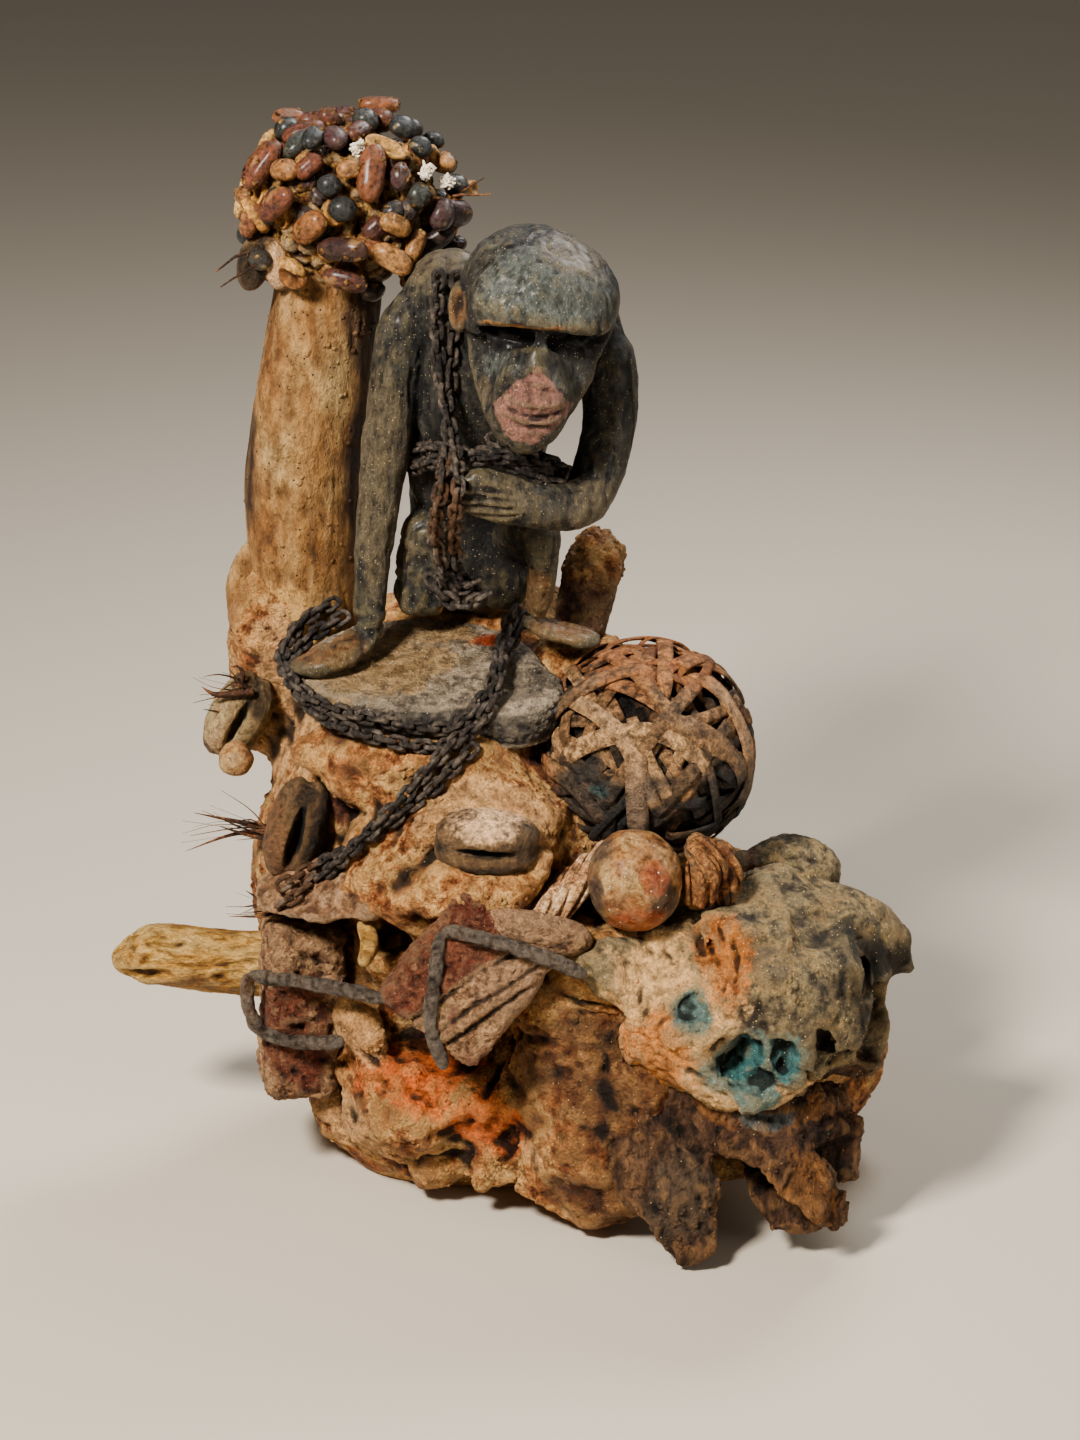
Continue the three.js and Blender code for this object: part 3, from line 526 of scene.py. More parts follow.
    def mesh(self, name: str) -> Mesh:
        """The skin as a Blender mesh in metres, with its marks as attributes."""
        mesh = bpy.data.meshes.new(name)
        mesh.vertices.add(len(self.spots))
        mesh.vertices.foreach_set("co", (self.spots * MM).astype(np.float32).ravel())
        mesh.loops.add(self.quads.size)
        mesh.loops.foreach_set("vertex_index", self.quads.astype(np.int32).ravel())
        mesh.polygons.add(len(self.quads))
        mesh.polygons.foreach_set("loop_start", np.arange(0, self.quads.size, 4, dtype=np.int32))
        mesh.polygons.foreach_set("use_smooth", np.ones(len(self.quads), bool))
        mesh.update(calc_edges=True)
        mesh.validate()
        return note(mesh, **self.marks)

    def paint(self, spots: Array, ragged: float = 0.35, seed: float = 0, **places: "Places") -> "Skin":
        """Marks soft-edged patches of the surface, by the names of their marks."""
        for mark, patches in places.items():
            self.marks[mark] = zone(spots, patches, ragged, seed)
        return self

    def dress(self, name: str, finish: "Finish", node: str) -> None:
        """Keeps the skin for what lies on it, and hands its piece over."""
        PIECES[node] = self
        hand_over(name, self.mesh(name), finish, node)


def linear(text: str) -> tuple[float, float, float, float]:
    """A colour written as six hexadecimal digits, as linear light with full cover."""
    parts = [int(text[i:i + 2], 16) / 255 for i in (0, 2, 4)]
    return (*(p / 12.92 if p <= 0.04045 else ((p + 0.055) / 1.055) ** 2.4 for p in parts), 1.0)


class Nodes:
    """A tree of nodes under construction."""

    tree: bpy.types.NodeTree

    def add(self, kind: str, inputs: dict | None = None, **settings: object) -> bpy.types.Node:
        """Adds a node.

        Args:
            kind: The node's type.
            inputs: Values or sockets for its inputs, by name or number.
            settings: Its own properties.

        Returns:
            The node.
        """
        node = self.tree.nodes.new(kind)
        for key, value in settings.items():
            setattr(node, key, value)
        for key, value in (inputs or {}).items():
            if isinstance(value, Socket):
                self.tree.links.new(value, node.inputs[key])
            else:
                node.inputs[key].default_value = value
        return node


class Shader(Nodes):
    """A material's nodes."""

    def __init__(self, name: str) -> None:
        """Starts a named material with an empty surface."""
        self.material = bpy.data.materials.new(name)
        self.material.use_nodes = True
        self.tree = self.material.node_tree
        self.surface = self.tree.nodes["Principled BSDF"]
        self.place = self.add("ShaderNodeTexCoord").outputs["Object"]

    def stretched(self, scale: Point) -> Socket:
        """The object's coordinates, drawn out along its axes."""
        return self.add("ShaderNodeMapping", {"Vector": self.place, "Scale": scale}).outputs[0]

    def noise(self, width: float, place: Socket, detail: float = 4,
              fade: float = 0.6) -> Socket:
        """Noise from 0 to 1 with waves of a width in millimetres."""
        inputs = {"Vector": place, "Scale": 1 / (width * MM), "Detail": detail, "Roughness": fade}
        return self.add("ShaderNodeTexNoise", inputs).outputs["Fac"]

    def mark(self, name: str) -> Socket:
        """One of the piece's marks."""
        return self.add("ShaderNodeAttribute", attribute_name=name).outputs["Fac"]

    def math(self, operation: str, *values: object) -> Socket:
        """One sum."""
        return self.add("ShaderNodeMath", dict(enumerate(values)), operation=operation).outputs[0]

    def range(self, value: Socket, start: float, end: float, low: float = 0,
              high: float = 1) -> Socket:
        """A smooth step of a value from one range to another."""
        inputs = {"Value": value, "From Min": start, "From Max": end, "To Min": low, "To Max": high}
        return self.add("ShaderNodeMapRange", inputs, interpolation_type="SMOOTHSTEP").outputs[0]

    def mix(self, share: object, one: object, other: object, blend: str = "MIX") -> Socket:
        """Two colours mixed."""
        return self.add("ShaderNodeMix", {0: share, 6: one, 7: other}, data_type="RGBA",
                        blend_type=blend).outputs[2]

    def ramp(self, value: Socket, colours: Sequence[str], low: float = 0.3,
             high: float = 0.7) -> Socket:
        """Colours spread over a range of a value."""
        node = self.add("ShaderNodeValToRGB", {"Fac": value})
        marks = node.color_ramp.elements
        while len(marks) < len(colours):
            marks.new(0.5)
        for i, colour in enumerate(colours):
            marks[i].position = low + (high - low) * i / max(1, len(colours) - 1)
            marks[i].color = linear(colour)
        return node.outputs[0]


@dataclass(frozen=True)
class Tint:
    """A colour that follows one of a piece's marks, with a ragged edge."""

    mark: str
    colour: str
    strength: float = 1.0
    ragged: float = 0.5


@dataclass(frozen=True)
class Finish:
    """A surface of earth, wood, fibre or iron.

    Its colours are hexadecimal, from the darkest patches to the lightest. Its colour for sunk places
    is painted shade, laid by noise as grime on the chains and fibre strands, and its colour for raised
    places is a painted highlight with wear. Widths and heights are in millimetres.
    """

    name: str
    slot: str
    colours: tuple[str, ...]
    patch: float
    grain: float
    relief: float
    rough: tuple[float, float] = (0.7, 0.95)
    contrast: float = 0.42
    cracked: float = 0.1
    stretch: Point = (1.0, 1.0, 1.0)
    # Painted shade for sunk places; random grime where a piece marks them by noise
    hollow: str = "1c120a"
    hollow_strength: float = 0.85
    # Painted highlight, with wear, for raised places
    proud: str = ""
    proud_strength: float = 0.5
    tints: tuple[Tint, ...] = ()
    speck: str = ""
    speck_width: float = 2.2
    speck_share: float = 0.06
    coat: float = 0.0
    metal: float = 0.0
    tone: tuple[str, ...] = ()

    def material(self) -> Material:
        """Builds the finish's material."""
        shader = Shader(self.name)
        place = shader.stretched(self.stretch)
        patches = shader.noise(self.patch, place, 8, 0.65)
        mottle = shader.noise(self.patch / 4, place, 9, 0.7)
        grain = shader.noise(self.grain, place, 4, 0.75)
        colour = shader.ramp(patches, self.colours, 0.36, 0.64)
        if self.tone:
            streaks = shader.range(mottle, 0.3, 0.7, 0.5, 1.4)
            colour = shader.mix(1.0, shader.ramp(shader.mark("tone"), self.tone, 0.0, 1.0), streaks,
                                "MULTIPLY")
        for tint in self.tints:
            spread = shader.math("MULTIPLY_ADD", mottle, tint.ragged, shader.mark(tint.mark))
            share = shader.range(spread, 0.25 + tint.ragged / 2, 0.85 + tint.ragged / 2, 0, tint.strength)
            colour = shader.mix(share, colour, linear(tint.colour))
        shade = shader.range(mottle, 0.3, 0.66, 1 - 1.2 * self.contrast, 1 + self.contrast)
        colour = shader.mix(1.0, colour, shade, "MULTIPLY")
        # Painted shade on sunk places and a painted highlight on raised ones
        for mark, tone, strength in (("hollow", self.hollow, self.hollow_strength),
                                     ("proud", self.proud, self.proud_strength)):
            if tone:
                spread = shader.math("MULTIPLY_ADD", mottle, 0.5, shader.mark(mark))
                colour = shader.mix(shader.range(spread, 0.35, 1.1, 0, strength), colour, linear(tone))
        folded = shader.math("SUBTRACT", shader.noise(self.patch / 2.2, place, 6, 0.6), 0.5)
        creases = shader.range(shader.math("ABSOLUTE", folded), 0.0, 0.035)
        colour = shader.mix(1.0, colour, shader.range(creases, 0, 1, 1 - self.cracked, 1), "MULTIPLY")
        if self.speck:
            colour = self._specked(shader, colour)
        worn = shader.range(grain, 0.34, 0.66, 1 - self.contrast * 0.55, 1 + self.contrast * 0.5)
        colour = shader.mix(1.0, colour, worn, "MULTIPLY")
        shader.tree.links.new(colour, shader.surface.inputs["Base Color"])
        gloss = shader.range(shader.math("ADD", mottle, grain), 0.75, 1.25, *self.rough)
        shader.tree.links.new(gloss, shader.surface.inputs["Roughness"])
        shader.surface.inputs["Metallic"].default_value = self.metal
        shader.surface.inputs["Coat Weight"].default_value = self.coat
        shader.surface.inputs["Coat Roughness"].default_value = 0.3
        height = shader.math("MULTIPLY_ADD", mottle, 5.0, shader.math("MULTIPLY", grain, 0.9))
        height = shader.math("MULTIPLY_ADD", creases, 1.2 * self.cracked, height)
        bump = shader.add("ShaderNodeBump",
                          {"Height": height, "Distance": 1.5 * self.relief * MM, "Strength": 1.0})
        shader.tree.links.new(bump.outputs[0], shader.surface.inputs["Normal"])
        return shader.material

    def _specked(self, shader: Shader, colour: Socket) -> Socket:
        """Scatters specks over a colour; the pale ones on the crusts are painted glints."""
        inputs = {"Vector": shader.place, "Scale": 1 / (self.speck_width * MM), "Randomness": 1.0}
        cells = shader.add("ShaderNodeTexVoronoi", inputs)
        inner = shader.range(cells.outputs["Distance"], 0.3, 0.18)
        draw = shader.add("ShaderNodeSeparateColor", {0: cells.outputs["Color"]}).outputs[0]
        lucky = shader.math("GREATER_THAN", draw, 1 - self.speck_share)
        return shader.mix(shader.math("MULTIPLY", inner, lucky), colour, linear(self.speck))


def zone(spots: Array, places: Iterable[tuple[Point, Point]], ragged: float = 0.35, seed: float = 0) -> Array:
    """1 in soft-edged patches of a surface, 0 away from them.

    Args:
        spots: Points on the surface.
        places: Middle and half size of each patch.
        ragged: How uneven the patches' edges are.
        seed: Moves the unevenness.

    Returns:
        A value from 0 to 1 for each point.
    """
    uneven = ragged * fractal(spots, 22, 5, 0.65, seed)
    best = np.zeros(len(spots))
    for at, size in places:
        away = np.linalg.norm((spots - at) / size, axis=1)
        best = np.maximum(best, 1 - step_between(away + uneven, 0.45, 1.2))
    return best


PIECES: dict[str, Skin] = {}     # the skins made so far, by the node that they stand for


def placed(name: str, data: bpy.types.ID) -> Object:
    """A new object in the scene."""
    made = bpy.data.objects.new(name, data)
    bpy.context.scene.collection.objects.link(made)
    return made


def material_of(finish: Finish) -> Material:
    """The finish's material, built once."""
    return bpy.data.materials.get(finish.name) or finish.material()


def hand_over(name: str, mesh: Mesh, finish: Finish, *nodes: str) -> None:
    """Makes a finished piece and gives it to the frame.

    Args:
        name: The piece's name.
        mesh: Its mesh, in metres.
        finish: What it is covered with.
        nodes: The construction's solids that it stands for.
    """
    mesh.materials.clear()
    mesh.materials.append(material_of(finish))
    piece = placed(name, mesh)
    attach(piece, BODY)
    if nodes:
        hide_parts(*nodes)
    LOG.info("%s: %d faces", name, len(mesh.polygons))


# Its pale flecks are painted glints, and its dark tint is painted shade in the mound's holes
CRUST = Finish(
    "ochre_crust", "crust", ("6a3e22", "9c5c32", "c48852", "e0b67a", "b8824e", "8a6444"), 30, 1.7, 1.3,
    (0.34, 0.95), cracked=0.25, hollow="170d09", hollow_strength=0.93, proud="d8a468", proud_strength=0.38,
    tints=(Tint("orange", "e8763a", 0.85, 1.5), Tint("maroon", "4b221f", 0.8),
    Tint("grey", "5e5853", 0.75, 0.8), Tint("pale", "e4b480", 0.8, 1.6), Tint("brown", "5c3720", 0.8, 0.8),
    Tint("dark", "120b06", 0.95, 0.6)), speck="ecd0a0", speck_share=0.03, speck_width=1.5)
# Its pale tint is painted light on the post's foot and its dark tint mostly painted shade on the right side
POST_WOOD = Finish(
    "golden_post_wood", "post_wood", ("684120", "885d31", "9c7648", "a88c60"), 40, 1.7, 0.8, (0.5, 0.85),
    contrast=0.34, cracked=0.15, stretch=(1, 1, 0.55), hollow="231409", proud="bd9d6e", proud_strength=0.35,
    tints=(Tint("dark", "321a0f", 0.85, 0.7), Tint("pale", "d0a468", 0.7, 1.2)), speck="25150b",
    speck_share=0.1, speck_width=2.6)
# Its pale flecks are painted glints and its dark tint is painted shade on the cake's steep sides
SLAB_CRUST = Finish(
    "olive_slab_crust", "slab_crust", ("665b4c", "8a7d6b", "a8967e", "bcaa92", "7c6a50"), 26, 1.5, 1.4,
    (0.4, 0.95), cracked=0.15, hollow="0e0c0a", proud="b8aa92", proud_strength=0.4,
    tints=(Tint("dark", "2c2b2c", 0.9, 0.8), Tint("orange", "c24e1c", 0.95, 0.7),
    Tint("gold", "b48e56", 0.6, 1.2)), speck="f2ecd8", speck_share=0.08, speck_width=1.6)
# Its bluish grey tint is a painted sheen on the forehead, and its dark tint painted shade under the brow and
# between the limbs
PATINA = Finish(
    "monkey_patina", "carved_wood", ("161513", "262522", "393730", "4c483c"), 18, 1.2, 0.65, (0.3, 0.75),
    contrast=0.5, cracked=0.15, stretch=(1, 1, 0.5), hollow="070504", proud="7e7050", coat=0.18,
    tints=(Tint("blue_sheen", "666b64", 0.7, 1.4), Tint("olive", "665a46", 0.75, 0.9),
    Tint("brown", "7a5632", 0.88, 1.2), Tint("pink", "92685a", 0.9, 0.9), Tint("rust", "b07c42", 0.8, 1.5),
    Tint("dark", "0b0705", 0.97, 0.3)), speck="c8b88c", speck_share=0.12, speck_width=1.3)
RESIN = Finish(
    "ochre_resin", "seeds", ("3d2110", "805128", "b18344", "d9b67c"), 10, 1.4, 1.2, (0.4, 0.85),
    contrast=0.5, cracked=0.3, hollow="100a06", proud="ead0a3")
BEAN_SKIN = Finish(
    "seed_skin", "seeds", ("3a1d10", "7a4320"), 14, 2.4, 0.3, (0.2, 0.55), contrast=0.28, hollow="0c0503",
    proud="b98050", proud_strength=0.12, coat=0.35,
    tone=("1c0d10", "2c1413", "44201a", "60301c", "80502c", "a67c4a"),
    tints=(Tint("dust", "a88050", 0.6, 1.2),))
BEAD_SKIN = Finish(
    "bead_skin", "seeds", ("1d2224", "333b38"), 8, 1.8, 0.25, (0.2, 0.5), contrast=0.35, hollow="060504",
    proud="6b675a", proud_strength=0.2, coat=0.4, tone=("0f1518", "161c1d", "2e3029", "3a2420", "4a2424"),
    tints=(Tint("dust", "a08a64", 0.7, 1.2),))
# Its pale flecks are painted glints, and its dark tint is painted shade in the deep recess
SKULL_CRUST = Finish(
    "skull_sand_crust", "skull_crust", ("443a2e", "6e6049", "91805e", "aa8e62", "6c5e49"), 26, 1.5, 1.1,
    (0.42, 0.95), hollow="140d08", proud="b8a27a", proud_strength=0.4,
    tints=(Tint("pale", "f2c48a", 0.95, 1.2), Tint("peach", "d8843e", 0.75, 1.6),
    Tint("dark", "24221c", 0.9, 0.8), Tint("brown", "5a3018", 0.9, 0.7), Tint("teal", "387c7e", 0.85, 1.5)),
    speck="f4dca8", speck_share=0.08, speck_width=1.6)
# A darker copy of the crust, darkened partly as painted shade for the jaw lying under the skull; its dark
# tint is painted shade
JAW_CRUST = replace(
    CRUST, name="jaw_crust", colours=("2c1b11", "452d1e", "5a3e2b", "74563c"), stretch=(1, 1, 0.4),
    relief=1.2, proud_strength=0.22, speck_share=0.015, tints=(Tint("orange", "8c5e34", 0.8, 0.9),
    Tint("teal", "446267", 0.7, 0.8), Tint("grey", "5a4a39", 0.8, 0.8), Tint("dark", "100a07", 0.95, 0.8)))
PLAIT = Finish(
    "dry_plaiting", "plaiting", ("503724", "7f5e3d", "a48458"), 22, 1.3, 1.1, (0.45, 0.85), cracked=0.3,
    hollow="0f0905", proud="e1c09c", proud_strength=0.55,
    tone=("33281c", "5c4a38", "8a6846", "a88058", "c49c70", "905a3a"),
    tints=(Tint("orange", "bc7844", 0.6, 1.4), Tint("grey", "393936", 0.85, 1.1),
    Tint("teal", "3c6a6a", 0.5, 1.2)))
# The core is near black, standing in for the shade in the gaps between the strips
PLAIT_CORE = replace(
    PLAIT, name="ball_core", colours=("0f0906", "1c130d", "2c1e14"), proud="3a2818", tone=())
GOURD_RIND = Finish(
    "gourd_rind", "gourd", ("77482b", "9e6e3d", "b59667"), 18, 1.8, 0.5, (0.38, 0.75), contrast=0.4,
    hollow="291912", proud="c4a27b", proud_strength=0.3, coat=0.1, tints=(Tint("dark", "3c352e", 0.85, 1.0),
    Tint("rust", "a44c26", 0.7, 1.0)), speck="ebe3cb", speck_share=0.06)
FIBRE = Finish(
    "dry_fibre", "fibre", ("b4805a", "dcac7c", "f4d4ac"), 14, 1.0, 0.5, (0.6, 0.95), contrast=0.36,
    hollow="5a3c26", proud="dcb27a", cracked=0.5)
RING_FIBRE = replace(
    FIBRE, name="ring_fibre", colours=("6a4226", "946038", "b48050", "6e5c4a"), hollow="1c0f07",
    proud="b48a58")
# Its tint for the front pod's lower half is painted shade
POD = Finish(
    "pod_skin", "pod", ("30261d", "54422f", "7a6146"), 16, 1.4, 0.7, (0.4, 0.8), hollow="080504",
    proud="9c7a52", proud_strength=0.4, tints=(Tint("tan", "f2c89c", 0.93, 1.3),
    Tint("underside_shade", "2e2822", 0.92, 1.0), Tint("brown", "7a5638", 0.9, 1.2), Tint("grey", "a4926a", 0.85, 1.1),
    Tint("dark", "120e0b", 0.93, 0.6)))
BONE = Finish(
    "golden_stub", "bone", ("96642c", "c0904a", "dab474"), 22, 1.5, 1.0, (0.4, 0.8), cracked=0.2,
    stretch=(0.45, 1, 1), hollow="341a09", proud="eccb88")
PACKET = Finish(
    "packet_bark", "packet", ("5e4030", "a47a56", "cca47a", "8e624a"), 18, 1.6, 1.2, (0.4, 0.9),
    contrast=0.45, cracked=0.25, hollow="0b0504", proud="a88664", tints=(Tint("grey", "bc9674", 0.85, 1.2),
    Tint("tan", "c89a70", 0.85, 1.2), Tint("resin", "74301f", 0.8, 1.4)), speck="ff9a70", speck_share=0.04,
    speck_width=1.5)
HIDE = Finish(
    "dry_hide", "hide", ("674731", "946d4c", "b4906e"), 20, 1.6, 0.9, (0.55, 0.9), contrast=0.4, cracked=0.2,
    hollow="170e0a", proud="cbab86", tints=(Tint("dark", "130d0b", 0.93, 0.5),))
# Its colour for raised places is a painted highlight on the links
IRON = Finish(
    "rusted_iron", "iron", ("2c2825", "48403a", "6c6054"), 12, 1.2, 0.4, (0.4, 0.75), cracked=0.2,
    hollow="100c09", proud="a09484", proud_strength=0.6, metal=0.25,
    tints=(Tint("rust", "6c4a2e", 0.7, 1.6),))
ROD = replace(
    IRON, name="binding_rod", colours=("2c241e", "4a3c31", "6a5645"), metal=0.1, grain=1.6, relief=1.0)
HUSK_SKIN = replace(
    BEAN_SKIN, name="husk_skin", rough=(0.45, 0.8), coat=0.05, tone=("5c3a1c", "8a5a2a", "b08042", "c49e64"))
FLUFF = Finish(
    "white_fluff", "seeds", ("d8cab2", "f4ecde"), 6, 1.6, 0.1, contrast=0.15, hollow="a89878", cracked=0.0)
FEATHER = Finish(
    "dark_quill", "feather", ("22160f", "543622", "94623a"), 10, 1.0, 0.2, (0.5, 0.8), contrast=0.4,
    hollow="0d0805", cracked=0.5)


@dataclass
class Mound:
    """The crust of earth and resin that carries everything else."""

    step: float = 2.5
    blend: float = 12.0
    lumps: tuple[tuple[Point, Point, float, int], ...] = (
        ((-18, -4, 46), (160, 108, 92), 0.13, 1), ((-108, 15, 170), (97, 90, 146), 0.1, 2),
        ((-70, 62, 318), (72, 44, 30), 0.06, 3), ((-188, 56, 300), (40, 40, 76), 0.18, 4),
        ((-166, 16, 156), (42, 58, 122), 0.12, 5), ((-80, -68, 205), (76, 62, 78), 0.12, 6),
        ((30, -20, 122), (105, 92, 86), 0.1, 7), ((2, -110, 120), (60, 52, 84), 0.18, 8),
        ((0, -112, 36), (50, 46, 46), 0.2, 9), ((106, -28, 70), (70, 74, 82), 0.14, 10),
        ((-60, 66, 150), (112, 56, 132), 0.12, 11), ((-12, 4, 264), (46, 46, 74), 0.1, 12),
        ((-104, -40, 280), (70, 50, 28), 0.12, 15), ((-66, -52, 268), (34, 36, 38), 0.14, 16),
    )
    ledge: tuple[Lump, ...] = (
        Lump((-86, -66, 66), (80, 56, 40), rough=0.2, seed=13),
        Lump((-139, -92, 116), (16, 15, 26), rough=0.16, seed=14),
    )
    drops: tuple[tuple[Point, float], ...] = (
        ((-158, -44, 42), 14), ((-142, -56, 26), 13), ((-96, -94, 26), 15), ((-60, -114, 34), 13),
        ((-28, -126, 30), 14), ((-120, -84, 40), 9), ((-78, -104, 30), 8), ((-44, -120, 44), 8),
    )
    holes: tuple[Lump, ...] = (
        Lump((-136, -96, 186), (34, 34, 22), (0, 25, 0)),
        Lump((-114, -122, 101), (15, 30, 13)),
        Lump((5, -164, 172), (15, 20, 13)),
        Lump((-42, -130, 4), (40, 34, 15)),
    )
    folds: tuple[Limb, ...] = (
        Limb(((-82, -118, 268), (-112, -112, 240), (-148, -100, 214)), (9, 10, 6), samples=12),
        Limb(((-70, -128, 240), (-96, -130, 226), (-122, -120, 208), (-150, -100, 200)), (8, 11, 8, 4),
             samples=12),
        Limb(((-44, -130, 232), (-70, -140, 222), (-100, -134, 212)), (7, 10, 5), samples=12),
        Limb(((-30, -118, 246), (-46, -134, 220), (-62, -144, 214)), (6, 9, 5), samples=12),
    )

    def form(self) -> Form:
        """The mound's shape, from its lumps, drops, folds and hollows."""
        drops = [Lump(at, (size, size, 1.3 * size)) for at, size in self.drops]
        lumps = [Lump(at, size, rough=rough, seed=seed) for at, size, rough, seed in self.lumps]
        form = Form().add(lumps, self.blend).add(self.ledge, 10).add(drops, 7).add(self.folds, 7)
        return form.cut(self.holes, 7)

    def build(self) -> None:
        """Carves the mound and roughens its crust."""
        skin = self.form().skin(self.step, floor=0.0)
        spots = skin.spots.copy()
        low = step_between(spots[:, 2], 1.5, 14)
        lumpy = zone(spots, (((-80, -100, 70), (110, 70, 60)), ((0, -130, 120), (60, 60, 110))))
        bent = warped(spots, 30, 2)
        skin.spots = spots + low[:, None] * (warped(spots, 44, 4) - spots) * (0.55 + 0.45 * lumpy)[:, None]
        skin.push(low * (2.2 * fractal(bent, 34, 3, 0.55, 1)
                         + (3.4 + 3.6 * lumpy) * (0.42 - ridges(bent, 25, 4, 3))
                         + (0.2 + 0.5 * lumpy) * nodules(bent, 12, 2)))
        skin.relax(1, 0.2)
        fine = warped(skin.spots, 12, 9)
        skin.push(low * ((1.9 + 1.2 * lumpy) * (0.4 - ridges(fine, 13, 4, 8))
                         + 0.9 * (0.4 - ridges(fine, 6, 2, 5))
                         + 0.4 * fractal(skin.spots, 6, 2, 0.6, 4)))
        skin.note_relief()
        skin.paint(spots, 0.4, orange=(((-108, -92, 84), (52, 40, 22)), ((-52, -112, 70), (52, 40, 26)),
                                       ((-76, -20, 346), (16, 16, 10))))
        skin.paint(spots, maroon=(((-148, -40, 290), (16, 30, 34)), ((-150, -50, 260), (12, 30, 24))),
                   grey=(((60, -60, 150), (50, 60, 50)), ((-40, -130, 200), (24, 24, 18))),
                   brown=(((0, -140, 110), (60, 50, 60)), ((20, -140, 40), (50, 50, 40))))
        # Painted shade inside the three holes
        skin.paint(spots, 0.15, dark=(((-136, -96, 186), (30, 34, 20)), ((-114, -122, 101), (14, 30, 12)),
                                      ((5, -164, 172), (13, 20, 11))))
        skin.paint(spots, 0.8, pale=(((-139, -96, 118), (24, 30, 34)), ((-180, 20, 290), (50, 60, 60)),
                                     ((-60, -110, 262), (60, 40, 30)), ((-140, -80, 50), (50, 50, 30)),
                                     ((-20, -120, 60), (30, 40, 20)), ((-30, -120, 200), (30, 40, 20))))
        skin.dress("mound_crust", CRUST, "mound")


@dataclass
class Post:
    """The thick worn post, with bark lifting from its foot."""

    step: float = 1.9
    trunk: Limb = Limb(((-176, 58, 262), (-178, 60, 339), (-179, 60, 418), (-170, 60, 482), (-156, 60, 566)),
                       (34, 34, 37, 35, 31), cap=0.06)
    bark: Limb = Limb(((-194, 34, 270), (-208, 42, 310), (-220, 52, 350), (-213, 58, 380)), (10, 14, 10, 5),
                      flat=0.6)

    def build(self) -> None:
        """Carves the post and its bark."""
        skin = Form().add([self.trunk]).skin(self.step)
        grain = skin.spots * (1, 1, 0.12)
        skin.push(1.2 * fractal(skin.spots * (1, 1, 0.4), 26, 3, 0.5, 1) + 0.9 * fractal(grain, 7, 3, 0.6, 2)
                  - 1.2 * step_between(ridges(grain, 13, 2, 3), 0.8, 1.0))
        skin.note_relief()
        # Painted light on the foot of the post, and painted shade down its right side, away from the lamp; a
        # dark streak also runs down its left edge
        skin.paint(skin.spots, 0.5, pale=(((-186, 30, 316), (40, 30, 56)),),
                   dark=(((-138, 60, 520), (16, 60, 60)), ((-140, 50, 420), (14, 60, 80)),
                         ((-214, 40, 440), (10, 30, 60))))
        skin.dress("post_wood", POST_WOOD, "post")
        bark = Form().add([self.bark]).skin(self.step)
        bark.push(1.6 * fractal(bark.spots * (1, 1, 0.3), 12, 3, 0.6, 6)
                  - 1.6 * ridges(bark.spots * (1, 1, 0.2), 8))
        bark.note_relief()
        hand_over("lifted_bark", bark.mesh("lifted_bark"), POST_WOOD, "post_bark")


@dataclass
class Slab:
    """The flat cake of crust under the figure, and the broken stump behind its foot."""

    step: float = 1.7
    cake: Cake = Cake((-105, -22, 316), (79, 57, 13), (12, 0, 0))
    lobe: Cake = Cake((-50, -46, 310), (35, 35, 14), (12, 0, 0), 7)
    stump: Limb = Limb(((-16, 6, 300), (-8, 12, 336), (0, 22, 372), (4, 26, 386)), (15, 16, 18, 13), cap=0.1)
    stump_head: Lump = Lump((9, 22, 380), (10, 11, 12), rough=0.2, seed=2)

    def build(self) -> None:
        """Carves the slab and the stump."""
        skin = Form().add([self.cake]).add([self.lobe], 6).skin(self.step)
        spots = skin.spots.copy()
        rim = 1 - step_between(np.abs(skin.normals()[:, 2]), 0.45, 0.85)
        skin.push((0.6 + 2.0 * rim) * fractal(spots, 16, 4, 0.6, 1) + (0.4 + rim) * nodules(spots, 8, 2)
                  - rim)
        skin.note_relief()
        # Painted shade on the cake's steep sides; a darker patch also lies on the front lobe
        skin.marks["dark"] = np.maximum(0.85 * rim, 0.5 * zone(spots, (((-46, -46, 320), (26, 30, 24)),)))
        skin.marks["orange"] = 0.8 * zone(spots, (((-62, 2, 330), (18, 9, 10)),), 0.7)
        skin.paint(spots, 0.6, gold=(((-136, -20, 325), (56, 50, 24)), ((-100, 10, 330), (40, 20, 14))))
        skin.dress("slab_cake", SLAB_CRUST, "slab")
        stump = Form().add([self.stump, self.stump_head], 5).skin(self.step)
        spots = stump.spots.copy()
        ragged = step_between(spots[:, 2], 362, 384)
        stump.push((2.0 + 3 * ragged) * fractal(spots, 11, 4, 0.65, 7)
                   + (0.5 + 1.5 * ragged) * nodules(spots, 8, 8))
        stump.note_relief()
        stump.marks["grey"] = 0.72 - 0.3 * ragged
        stump.dress("broken_stump", CRUST, "stump")


